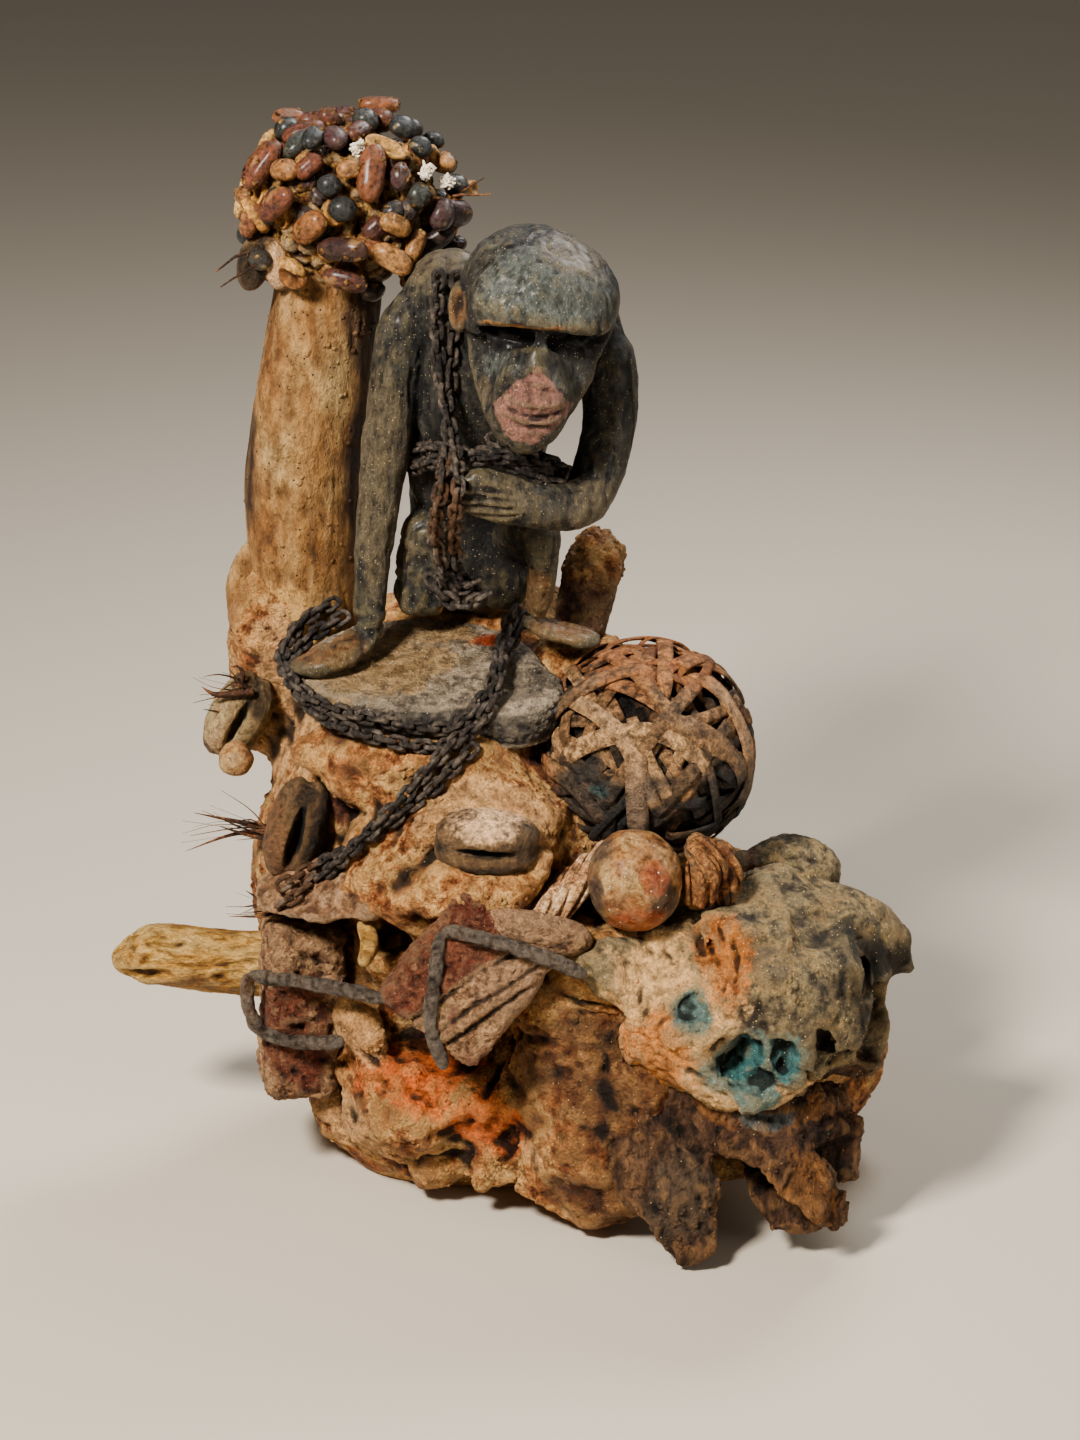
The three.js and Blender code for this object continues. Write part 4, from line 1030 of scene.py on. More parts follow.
@dataclass
class Monkey:
    """The carved monkey: one block of wood with a domed head, long arms and folded legs."""

    step: float = 1.6
    head_at: Point = (-32.0, -42.0, 561.0)
    roll: float = 6.5
    trunk: tuple[Solid, ...] = (
        Lump((-72, 42, 374), (43, 35, 35)),
        Lump((-84, 10, 552), (28, 25, 26)),
        Lump((-8, 2, 534), (24, 23, 27)),
        Lump((-48, 14, 530), (54, 35, 35)),
        Limb(((-72, 40, 366), (-74, 32, 420), (-66, 18, 476), (-56, 6, 530)), (34, 38, 44, 44), flat=0.8),
    )
    belly: Lump = Lump((-54, 12, 376), (19, 19, 25))
    arms: tuple[Limb, ...] = (
        Limb(((-92, 8, 556), (-114, 5, 529), (-121, 3, 487), (-126, 0, 450), (-131, -6, 412),
              (-134, -12, 377),
              (-137, -20, 346)), (16, 15, 15, 14, 12.5, 10, 10), samples=28),
        Limb(((0, 0, 536), (9, -10, 506), (7, -24, 470), (-5, -44, 442), (-22, -58, 440), (-46, -68, 446),
              (-62, -72, 452)), (16, 17, 16, 15, 13.5, 12.5, 13), samples=30),
    )
    hands: tuple[Limb, ...] = (
        Limb(((-136, -18, 345), (-150, -27, 337), (-164, -32, 333), (-178, -35, 331)), (11, 15, 15, 9),
             flat=0.55, facing=(0, 0, 1)),
        Limb(((-48, -70, 449), (-66, -74, 454), (-88, -73, 453)), (13, 15, 10), flat=0.62),
    )
    legs: tuple[Solid, ...] = (
        Limb(((-86, 40, 366), (-98, 20, 396), (-102, 4, 403)), (20, 18, 15)),
        Brick((-104, 7, 377), (14, 15, 26), (4, 8, 14), 9),
        Limb(((-56, 34, 372), (-42, -6, 408), (-32, -34, 414), (-31, -30, 388), (-34, -21, 358)),
             (18, 16, 12, 8, 8.5)),
        Limb(((-38, -14, 352), (-24, -21, 349), (-8, -26, 346), (0, -28, 345)), (8, 12, 12, 6), flat=0.45,
             facing=(0, 0, 1)),
    )
    fingers: tuple[Line, ...] = tuple(
        ((-92, 460 - 6 * i), (-76, 460.5 - 6.2 * i), (-58, 458 - 5.4 * i), (-44, 455 - 4 * i))
        for i in range(4))
    toes: tuple[tuple[Point, ...], ...] = (
        *(((-184, -40 + 5 * i, 338), (-172, -38 + 5 * i, 341), (-156, -33 + 5 * i, 345))
          for i in range(-1, 3)),
        *(((2, -31 + 5 * i, 350), (-12, -27 + 5 * i, 354)) for i in range(2)),
    )
    patch: Line = (
        (3, -26), (10, -35), (20, -46), (23, -52), (16, -62), (3, -74), (-10, -74), (-21, -60), (-25, -50),
        (-21, -44),
        (-10, -35), (-3, -26))

    def at(self, across: float, forward: float, up: float) -> Point:
        """A place on the head, measured from its middle and turned with the face."""
        angle = math.radians(self.roll)
        x, y, z = self.head_at
        return (x + 5.5 + across * math.cos(angle) + up * math.sin(angle) - 0.09 * forward, y - forward,
                z + up * math.cos(angle) - across * math.sin(angle))

    def face(self, form: Form) -> None:
        """Adds the head to the form: dome, overhanging brow, sunk eyes, thin nose, lips and an ear."""
        x, y, z = self.head_at
        at, roll = self.at, self.roll
        form.add([Lump(self.head_at, (45.5, 47.5, 40.5)), Lump(at(-16, -2, 8), (35, 40, 33))], 8)
        form.add([Limb((at(-4, 6, -8), at(-5, 15, -30), at(-5, 20, -50), at(-4, 26, -64), at(-3, 31, -73)),
                       (41, 37, 28, 17, 8), flat=0.74, cap=0.16)], 6)
        form.add([Lump(at(-2, 20, 6), (40, 25, 23), (0, roll, 0))], 9)
        form.add([Limb((at(-38, 30, 4), at(-20, 41, 3), at(0, 45.5, 1), at(20, 41, -1), at(38, 29, -3)),
                       (5, 6, 6, 6, 5))], 6)
        form.cut([Brick(at(37.5 * side, 51.5, -47), (36, 26, 34), (-10, roll, 37 * side), 1.6)
                  for side in (-1, 1)], 2)
        form.cut([Brick(at(0, 57, -6.8), (60, 30, 6), (-22, roll, 0), 1.6)], 2.5)
        form.cut([Limb((at(7 * side, 39, -11), at(20 * side, 31, -12 - side), at(34 * side, 18, -12 - side)),
                       (4, 8, 7)) for side in (-1, 1)], 3)
        form.add([Lump(at(19 * side, 23, -15), (8, 5, 3.4), (0, roll, 37 * side)) for side in (-1, 1)], 1.5)
        form.add([Limb((at(0, 37, -4), at(0, 38, -17), at(0, 44, -29)), (3, 2.2, 3.6))], 5)
        form.add([Limb((at(-1, 38, -32), at(-2, 39, -44), at(-4, 38, -56), at(-4, 32, -72)), (8, 21, 20, 9),
                       flat=0.45)], 10)
        form.cut([Lump(at(2.6 * side, 49.5, -31), (1.7, 3, 1.2)) for side in (-1, 1)], 1)
        for up, sag, radius, sink, joins in ((-46.5, 3.0, 1.9, 0.2, True), (-57.0, 3.0, 2.0, 0.3, True),
                                             (-51.8, 5.0, 1.7, 0.0, False), (-42.0, -2.0, 1.3, 0.0, False),
                                             (-37.0, -3.0, 1.1, 0.0, False), (-62.5, 1.0, 1.1, 0.0, False)):
            wide = 18 if -60 < up < -40 else 11
            line = [at(wide * s - 3, 0, up - sag * (1 - s * s)) for s in (-1.0, -0.6, -0.2, 0.2, 0.6, 1.0)]
            places = form.front([(p[0], p[2]) for p in line], sink)
            lip = Limb(places, [radius * (1 - 0.6 * abs(s)) for s in (-1, -0.6, -0.2, 0.2, 0.6, 1)],
                       samples=14)
            (form.add if joins else form.cut)([lip], 1.6)
        form.add([Lump((x - 46, y - 9, z - 1), (7, 9.5, 15), (0, 6, 25))], 2)
        form.cut([Lump((x - 49, y - 17, z - 1.5), (5, 7, 11), (0, 6, 35))], 2)

    def form(self) -> Form:
        """The whole figure."""
        form = Form().add(self.trunk, 12).add([self.belly], 3).add(self.arms, 6).add(self.hands, 5)
        form.add(self.legs, 5)
        for line in self.fingers:
            form.cut([Limb(form.front(line, 0.4), (0.8, 1.9, 1.6, 0.6), samples=12)], 1.6)
        form.cut([Limb(line, (1.5, 1.9, 0.8)[:len(line)], samples=9) for line in self.toes], 1.4)
        self.face(form)
        return form

    def build(self) -> None:
        """Carves the monkey and ages its surface."""
        form = self.form()
        skin = form.skin(self.step).fit(form, 1)
        spots = skin.spots.copy()
        calm = 1 - 0.75 * zone(spots, ((self.at(0, 36, -40), (40, 30, 42)),), 0)
        leg = zone(spots, (((-104, 7, 377), (24, 26, 34)), ((-140, -20, 345), (50, 26, 20))), 0.1)
        carved = spots * (1, 1, 0.3)
        skin.push(calm * (1.7 * fractal(spots, 26, 3, 0.5, 1) + 1.1 * fractal(carved, 9, 3, 0.6, 2)
                          - 1.1 * step_between(ridges(carved, 12, 3, 3), 0.6, 0.95))
                  - 1.3 * step_between(ridges(spots * (0.3, 0.6, 1.3), 6, 2, 9), 0.5, 0.9)
                  * zone(spots, ((self.at(0, 38, -52), (20, 20, 18)),), 0)
                  + leg * (1.8 - 4.0 * ridges(spots, 12, 3, 4)) + 0.35 * fractal(spots, 4, 2, 0.6, 5))
        skin.note_relief(5)
        self.mark(skin, spots)
        skin.dress("carved_monkey", PATINA, "figure")

    def mark(self, skin: Skin, spots: Array) -> None:
        """Marks patina colours, painted sheen and painted shade by the corners' places before roughening."""
        at = self.at
        x, y, z = self.head_at
        # Painted sheen: a pale bluish grey over the forehead, weaker on the cheeks
        skin.marks["blue_sheen"] = np.maximum(
            zone(spots, ((at(-4, 34, 14), (44, 40, 34)),), 0.6),
            0.55 * zone(spots, ((at(-17, 32, -33), (22, 24, 12)), (at(17, 32, -36), (20, 24, 14))), 0.6))
        skin.paint(spots, olive=(
            ((-126, -8, 440), (22, 26, 100)), (at(16, 4, 34), (40, 50, 16)), ((-4, -50, 440), (30, 30, 20)),
            ((-60, -75, 450), (30, 20, 16)), ((-90, 6, 570), (40, 30, 18)), (at(-30, 28, -52), (7, 14, 12))))
        skin.paint(spots, 0.25, brown=(
            ((-33, -28, 380), (12, 20, 30)), ((-16, -24, 352), (26, 22, 10)),
            ((x - 49, y - 15, z - 1), (9, 12, 14)), ((-160, -30, 340), (34, 22, 16))))
        angle = math.radians(self.roll)
        beside, above = spots[:, 0] - x - 5.5 + 0.09 * (y - spots[:, 1]), spots[:, 2] - z
        across = beside * math.cos(angle) - above * math.sin(angle)
        up = beside * math.sin(angle) + above * math.cos(angle)
        outside = np.full(len(spots), -FAR)
        for (a, b), (c, d) in zip(self.patch, self.patch[1:] + self.patch[:1]):
            edge = math.hypot(c - a, d - b)
            outside = np.maximum(outside, ((across - a) * (b - d) + (up - b) * (c - a)) / edge)
        outside += 2.6 * fractal(spots, 6, 4, 0.65, 6)
        skin.marks["pink"] = (1 - step_between(outside, -2.2, 1.8)) * (spots[:, 1] < y - 20)
        edge = zone(spots, ((at(-14, 40, -5), (34, 16, 3.2)),), 0.8)
        skin.marks["rust"] = np.maximum(edge, zone(spots, (((-84, 0, 350), (16, 16, 10)),), 0.5))
        # Painted shade: the sunk eyes and the bridge under the brow, the torso between the arms, the belly,
        # between the legs and under the chin; the raised-place highlight is taken off the eyes
        eyes = zone(spots, ((at(-20, 20, -15), (30, 26, 13)), (at(20, 20, -16), (30, 26, 13)),
                            (at(0, 36, -9), (13, 20, 8))), 0.1)
        lap = zone(spots, (((-66, -4, 366), (34, 34, 30)), ((-56, -44, 486), (40, 26, 30)),
                           ((-20, -18, 340), (30, 20, 8)),
                           ((-70, -8, 440), (46, 36, 80)), ((-54, -6, 376), (26, 30, 34))), 0.3)
        skin.marks["dark"] = np.maximum(eyes, 0.72 * lap)
        skin.marks["proud"] *= 1 - eyes


def on_ball(middle: Point, size: Point, across: float, up: float, lift: float = 0.0) -> tuple[Array, Array]:
    """A place on the near side of an ellipsoid, as the viewer in front sees it.

    Args:
        middle: The ellipsoid's middle.
        size: Its half sizes.
        across: How far right of the middle.
        up: How far above it, square to the line of sight.
        lift: How far out from the surface.

    Returns:
        The place and the outward direction there.
    """
    start = (across * RIGHT + up * RISE) / size
    way = TO_VIEWER / size
    a, b, c = way @ way, 2 * start @ way, start @ start - 1
    reach = (-b + math.sqrt(max(0.0, b * b - 4 * a * c))) / (2 * a)
    place = across * RIGHT + up * RISE + reach * TO_VIEWER
    out = place / np.square(size)
    out /= np.linalg.norm(out)
    return place + middle + out * lift, out


class Tree(Nodes):
    """A Geometry Nodes tree."""

    def __init__(self, name: str, **inputs: tuple[str, object]) -> None:
        """Starts a tree with a mesh and named inputs, each a kind of socket and a usual value."""
        self.tree = bpy.data.node_groups.new(name, "GeometryNodeTree")
        face = self.tree.interface
        face.new_socket("Geometry", in_out="INPUT", socket_type="NodeSocketGeometry")
        face.new_socket("Geometry", in_out="OUTPUT", socket_type="NodeSocketGeometry")
        for label, (kind, value) in inputs.items():
            socket = face.new_socket(label, in_out="INPUT", socket_type="NodeSocket" + kind)
            if value is not None:
                socket.default_value = value
        self.given = self.tree.nodes.new("NodeGroupInput").outputs

    def attribute(self, name: str, kind: str = "FLOAT") -> Socket:
        """A named attribute of the points."""
        node = self.add("GeometryNodeInputNamedAttribute", {"Name": name}, data_type=kind)
        return node.outputs["Attribute"]

    def finish(self, geometry: Socket, finish: Finish) -> "Tree":
        """Ends the tree: instances made real, smooth shading and the material."""
        real = self.add("GeometryNodeRealizeInstances", {0: geometry}).outputs[0]
        smooth = self.add("GeometryNodeSetShadeSmooth", {0: real}).outputs[0]
        dressed = self.add("GeometryNodeSetMaterial", {0: smooth, "Material": material_of(finish)}).outputs[0]
        self.add("NodeGroupOutput", {0: dressed})
        return self

    def run(self, strands: "Strands", **values: object) -> Mesh:
        """The plain mesh that the tree makes of strands, with its named inputs."""
        carrier = placed("carrier", strands.mesh())
        modifier = carrier.modifiers.new("Shape", "NODES")
        modifier.node_group = self.tree
        for item in self.tree.interface.items_tree:
            if item.item_type == "SOCKET" and item.in_out == "INPUT" and item.name in values:
                modifier[item.identifier] = values[item.name]
        graph = bpy.context.evaluated_depsgraph_get()
        result = bpy.data.meshes.new_from_object(carrier.evaluated_get(graph))
        carrier.modifiers.remove(modifier)
        bpy.data.objects.remove(carrier)
        return result


@dataclass
class Strands:
    """Paths, or single points, that a tree lays something along."""

    spots: list[Array] = field(default_factory=list)
    edges: list[tuple[int, int]] = field(default_factory=list)
    values: dict[str, list[Array]] = field(default_factory=dict)
    total: int = 0

    def add(self, spots: Array, joined: bool = True, **values: object) -> "Strands":
        """Adds a path.

        Args:
            spots: Its points, in millimetres.
            joined: Whether they are joined in a line.
            values: What they carry: one number for all, or a row for each.
        """
        self.spots.append(np.atleast_2d(spots))
        size = len(self.spots[-1])
        self.edges += [(self.total + i, self.total + i + 1) for i in range(size - 1)] if joined else []
        self.total += size
        for name, value in values.items():
            value = np.asarray(value, float)
            self.values.setdefault(name, []).append(value if value.ndim else np.full(size, value))
        return self

    def mesh(self) -> Mesh:
        """The paths as a mesh in metres, with what they carry as attributes."""
        mesh = bpy.data.meshes.new("strands")
        mesh.from_pydata((np.concatenate(self.spots) * MM).tolist(), self.edges, [])
        for name, parts in self.values.items():
            value = np.concatenate(parts).astype(np.float32)
            kind, key = ("FLOAT_VECTOR", "vector") if value.ndim == 2 else ("FLOAT", "value")
            mesh.attributes.new(name, kind, "POINT").data.foreach_set(key, value.ravel())
        return mesh


def sweep_tree(name: str, finish: Finish) -> Tree:
    """A tree that sweeps a round or flat section along paths, as wide as they say."""
    tree = Tree(name, Flatness=("Float", 1.0), Sides=("Int", 6), Step=("Float", 2 * MM))
    curve = tree.add("GeometryNodeMeshToCurve", {0: tree.given["Geometry"]}).outputs[0]
    spline = tree.add("GeometryNodeResampleCurve", {0: curve, "Length": tree.given["Step"]}, mode="LENGTH")
    inputs = {0: spline.outputs[0], "Normal": tree.attribute("out", "FLOAT_VECTOR")}
    aimed = tree.add("GeometryNodeSetCurveNormal", inputs, mode="FREE")
    ring = tree.add("GeometryNodeCurvePrimitiveCircle", {"Resolution": tree.given["Sides"], "Radius": 0.5})
    turned = tree.add("GeometryNodeTransform", {0: ring.outputs[0], "Rotation": (0, 0, math.radians(22.5))})
    scale = tree.add("ShaderNodeCombineXYZ", {0: tree.given["Flatness"], 1: 1.0, 2: 1.0}).outputs[0]
    section = tree.add("GeometryNodeTransform", {0: turned.outputs[0], "Scale": scale}).outputs[0]
    wide = tree.add("ShaderNodeMath", {0: tree.attribute("width"), 1: MM}, operation="MULTIPLY").outputs[0]
    inputs = {0: aimed.outputs[0], 1: section, "Scale": wide, "Fill Caps": True}
    return tree.finish(tree.add("GeometryNodeCurveToMesh", inputs).outputs[0], finish)


def scatter_tree(name: str, finish: Finish) -> Tree:
    """A tree that puts a template on points, turned and sized as they say."""
    tree = Tree(name, Template=("Object", None))
    shape = tree.add("GeometryNodeObjectInfo", {"Object": tree.given["Template"]}).outputs["Geometry"]
    out, along, size = (tree.attribute(mark, "FLOAT_VECTOR") for mark in ("out", "along", "size"))
    turn = tree.add("FunctionNodeAxesToRotation", {0: out, 1: along}, primary_axis="Z", secondary_axis="X")
    inputs = {"Points": tree.given["Geometry"], "Instance": shape, "Rotation": turn.outputs[0], "Scale": size}
    return tree.finish(tree.add("GeometryNodeInstanceOnPoints", inputs).outputs[0], finish)


class Relief(Enum):
    """A kind of relief on a crust."""

    WAVES = "waves"
    KNOBS = "knobs"
    CRACKS = "cracks"
    FOLDS = "folds"


@dataclass(frozen=True)
class Layer:
    """One layer of relief, with its height and width in millimetres."""

    kind: Relief
    height: float
    width: float
    stretch: Point = (1.0, 1.0, 1.0)

    def heights(self, spots: Array, seed: float) -> Array:
        """How far out each point of a surface moves."""
        spots = spots * self.stretch
        if self.kind is Relief.WAVES:
            return self.height * fractal(spots, self.width, 4, 0.6, seed)
        if self.kind is Relief.KNOBS:
            return self.height * nodules(spots, self.width, seed)
        bent = warped(spots, self.width, seed)
        if self.kind is Relief.FOLDS:
            return self.height * (0.4 - ridges(bent, self.width, 4, seed) ** 1.3)
        return -self.height * step_between(ridges(bent, self.width, 3, seed), 0.6, 0.9)


Places = Sequence[tuple[Point, Point]]


@dataclass
class Carving:
    """A piece melted from solids, roughened in layers and marked where its colour changes."""

    name: str
    finish: Finish
    node: str
    solids: Sequence[Solid]
    cuts: Sequence[Solid] = ()
    blend: float = 6.0
    edge: float = 2.5
    step: float = 1.5
    layers: Sequence[Layer] = ()
    places: dict[str, Places] = field(default_factory=dict)
    ragged: float = 0.35
    seed: float = 0.0
    bent: float = 0.0

    def carved(self) -> Skin:
        """The roughened and marked skin."""
        skin = Form().add(self.solids, self.blend).cut(self.cuts, self.edge).skin(self.step).relax(1, 0.3)
        spots = skin.spots.copy()
        if self.bent:
            skin.spots = warped(spots, self.bent, self.seed)
        for i, layer in enumerate(self.layers):
            skin.push(layer.heights(spots, self.seed + i))
        return skin.note_relief().paint(spots, self.ragged, self.seed, **self.places)

    def build(self) -> None:
        """Makes the piece and hands it over."""
        self.carved().dress(self.name, self.finish, self.node)


waves, knobs, cracks, folds = (partial(Layer, kind) for kind in Relief)


class Kind(Enum):
    """A kind of seed."""

    BEAN = "bean"
    BEAD = "bead"
    HUSK = "husk"


BEAN, BEAD, HUSK = Kind


@dataclass
class SeedCluster:
    """Beans, beads and husks set in ochre resin, with a split pod that hangs from them."""

    at: Point = (-146.0, 60.0, 590.0)
    core: Point = (52.0, 46.0, 44.0)
    shell: Point = (64.0, 56.0, 52.0)
    pixel: float = 0.62
    hidden: int = 96
    filling: int = 46
    front: tuple[tuple[int, int, int, int, int, Kind, float], ...] = (
        (17, 82, 46, 20, 12, BEAN, 0.2), (26, 96, 40, 20, -20, BEAN, 0.7),
        (-32, 84, 44, 22, -15, BEAN, 0.5), (-76, 62, 26, 16, 50, HUSK, 0.9),
        (-78, 32, 54, 28, 52, BEAN, 0.62), (-105, 12, 44, 18, 88, HUSK, 0.95),
        (-63, -8, 52, 25, 24, BEAN, 0.58), (-33, -30, 46, 26, 32, BEAN, 0.82),
        (-3, -47, 54, 24, 10, BEAN, 0.12), (-3, -72, 44, 22, -8, BEAN, 0.38),
        (22, -81, 25, 22, 0, BEAD, 0.7), (-30, 53, 34, 22, 86, BEAD, 0.1),
        (-11, 55, 36, 24, 92, BEAD, 0.95), (-48, 54, 37, 22, 80, BEAD, 0.5), (3, 21, 24, 18, 10, BEAN, 0.9),
        (25, 20, 56, 27, 84, BEAN, 0.68), (35, 43, 44, 18, -24, HUSK, 0.85),
        (-15, 8, 24, 22, 0, BEAD, 0.25), (-3, -13, 28, 25, 0, BEAD, 0.3), (48, 17, 28, 20, 80, BEAD, 0.9),
        (66, 2, 27, 24, 60, BEAD, 0.45), (48, 64, 28, 25, 0, BEAD, 0.1), (66, 49, 24, 22, 0, BEAD, 0.15),
        (79, 66, 22, 18, 0, BEAD, 0.0), (88, 38, 26, 18, 60, BEAN, 0.95), (86, -12, 34, 26, 60, BEAD, 0.88),
        (104, -5, 28, 19, -60, BEAN, 0.3), (111, 19, 36, 15, 12, HUSK, 0.8),
        (45, -27, 34, 20, -25, BEAN, 0.97), (39, -53, 42, 24, -30, BEAN, 0.93),
        (-58, 84, 34, 20, 30, BEAN, 0.75), (64, -44, 34, 20, 35, BEAN, 0.9),
        (-56, 22, 34, 22, -20, BEAN, 0.88), (-34, 26, 30, 20, 40, BEAN, 0.6),
        (10, 66, 30, 20, 60, BEAN, 0.45), (60, -68, 30, 19, -10, BEAN, 0.8),
        (-92, -16, 34, 20, 60, BEAN, 0.7), (-50, -58, 30, 18, 30, HUSK, 0.8),
    )
    fluff: tuple[tuple[int, int], ...] = ((10, 41), (87, 17), (70, 22))

    def templates(self) -> dict[Kind, Object]:
        """One seed of each kind, one millimetre long for each unit of its size."""
        bean = Form().add([Limb(((-12, 0, 0), (-5, 1.2, 0), (5, 1.2, 0), (12, 0, 0)), (6, 8.4, 8.4, 6.4),
                                flat=0.86, facing=(0, 0, 1), cap=0.3)])
        bean.cut([Limb(((-12, -2, 5.6), (0, -3.2, 7.6), (12, -2, 5.6)), (0.5, 1.7, 0.5))], 1.6)
        bead = Form().add([Lump((0, 0, 0), (12, 12, 10.5), rough=0.04)])
        bead.cut([Lump((9, 0, 7.5), (2.4, 2.4, 1.6))], 1.5)
        husk = Form().add([Lump((0, 0, 0), (15, 8.4, 7), rough=0.08, seed=2)])
        husk.cut([Lump((2, -1, 5.5), (13, 6.4, 6.5))], 1.4)
        made = {}
        for kind, form, length in ((BEAN, bean, 29.0), (BEAD, bead, 24.0), (HUSK, husk, 30.0)):
            skin = form.skin(1.45)
            skin.push(0.35 * fractal(skin.spots, 7, 3, 0.6, 5)).note_relief(3)
            skin.spots /= length
            made[kind] = bpy.data.objects.new(kind.value, skin.mesh(kind.value))
        return made

    def seed(self, groups: dict[Kind, Strands], kind: Kind, place: Array, out: Array, along: Array,
             length: float, width: float, tone: float) -> None:
        """Sets one seed, of a given length and width, on the cluster."""
        ratio = {BEAN: 29 / 17, BEAD: 1.0, HUSK: 30 / 16}[kind]
        size = np.array((length, width * ratio, width * ratio))
        groups[kind].add(place, False, out=out[None], along=along[None], size=size[None], tone=tone)

    def build(self) -> None:
        """Sets the seeds in their resin and hangs the pod."""
        rng = np.random.default_rng(11)
        groups = {kind: Strands() for kind in Kind}
        for i, (across, up, length, width, angle, kind, tone) in enumerate(self.front):
            place, out = on_ball(self.at, self.shell, across * self.pixel, up * self.pixel,
                                 0.06 * width + 6 * (0.618 * i % 1) - 1)
            out = out + 0.3 * rng.normal(size=3)
            turn = math.radians(angle)
            along = math.cos(turn) * RIGHT + math.sin(turn) * RISE
            self.seed(groups, kind, place, out, along, length * self.pixel, width * self.pixel, tone)
        for _ in range(self.filling):
            across, up = rng.uniform(-70, 70), rng.uniform(-60, 60)
            if math.hypot(across / 66, up / 57) < 1:
                place, out = on_ball(self.at, self.shell, across, up, -6)
                kind = rng.choice(list(Kind))
                length = rng.uniform(11, 22)
                self.seed(groups, kind, place, out, rng.normal(size=3), length, 0.75 * length, rng.uniform())
        for i in range(self.hidden):
            high = 1 - 2 * (i + 0.5) / self.hidden
            flat = math.sqrt(1 - high * high)
            out = np.array((flat * math.cos(2.4 * i), flat * math.sin(2.4 * i), high))
            if out @ TO_VIEWER > 0.42 or high < -0.72:
                continue
            place = np.array(self.at) + out * self.shell * rng.uniform(0.93, 1.1)
            along = rng.normal(size=3)
            kind = rng.choice([BEAN, BEAN, BEAD, HUSK])
            length = rng.uniform(20, 30) if kind is not BEAD else rng.uniform(13, 18)
            self.seed(groups, kind, place, out + 0.3 * rng.normal(size=3), along, length,
                      length * (0.58 if kind is not BEAD else 0.95), rng.uniform())
        self.resin()
        templates = self.templates()
        for kind, finish in ((BEAN, BEAN_SKIN), (BEAD, BEAD_SKIN), (HUSK, HUSK_SKIN)):
            mesh = scatter_tree(kind.value + "_rows", finish).run(groups[kind], Template=templates[kind])
            spots = corners(mesh)
            dust = step_between(fractal(spots, 17, 4, 0.7, 4), 0.0, 0.5)
            PIECES[kind.value] = Skin(spots, faces(mesh), {"dust": dust})
            note(mesh, dust=dust)
            hand_over(kind.value + "_seeds", mesh, finish)
        self.trimmings(rng)

    def resin(self) -> None:
        """The crumbly resin between the seeds, and the hanging pod."""
        Carving("seed_resin", RESIN, "seed_cluster", [Lump(self.at, self.core, rough=0.1, seed=3)], step=1.7,
                layers=(waves(3, 20), knobs(4.6, 10), folds(3, 8))).build()
        halves = [Lump((-204, 40, 562), (10, 10, 18), (0, 14, 0)),
                  Lump((-191, 38, 562), (9, 10, 17), (0, -16, 0))]
        slit = Limb(((-198, 30, 578), (-198.5, 27, 562), (-197, 30, 546)), (1.5, 3, 1.5), samples=12)
        Carving("hanging_split_pod", POD, "hanging_pod", halves, [slit], blend=2, edge=2, step=1.1,
                layers=(waves(0.7, 9, (1, 1, 0.4)),),
                places={"tan": (((-189, 34, 562), (9, 12, 18)),),
                        "dark": (((-206, 34, 560), (9, 12, 16)),)}).build()

    def trimmings(self, rng: np.random.Generator) -> None:
        """White fluff between the seeds, and fine sticks beside the pod."""
        fluff, sticks = Strands(), Strands()
        for across, up in self.fluff:
            place, out = on_ball(self.at, self.shell, across * self.pixel, up * self.pixel, 5)
            for _ in range(70):
                start, end = place + rng.normal(0, 1.7, 3), place + rng.normal(0, 1.7, 3) + 0.8 * out
                bend = (start + end) / 2 + rng.normal(0, 1.4, 3)
                fluff.add(np.array((start, bend, end)), out=out[None].repeat(3, 0), width=1.7)
        for start, end in (((-205, 26, 572), (-224, 8, 566)), ((-200, 24, 566), (-222, 10, 556)),
                           ((-86, 40, 602), (-64, 30, 607)), ((-84, 44, 598), (-66, 40, 615))):
            path = np.linspace(start, end, 4) + rng.normal(0, 1, (4, 3))
            sticks.add(path, out=np.tile((0, 0, 1.0), (4, 1)), width=np.linspace(2.2, 0.8, 4))
        for name, finish, strands in (("white_fluff", FLUFF, fluff), ("fine_sticks", FEATHER, sticks)):
            hand_over(name, sweep_tree(name, finish).run(strands, Step=1.5 * MM), finish)


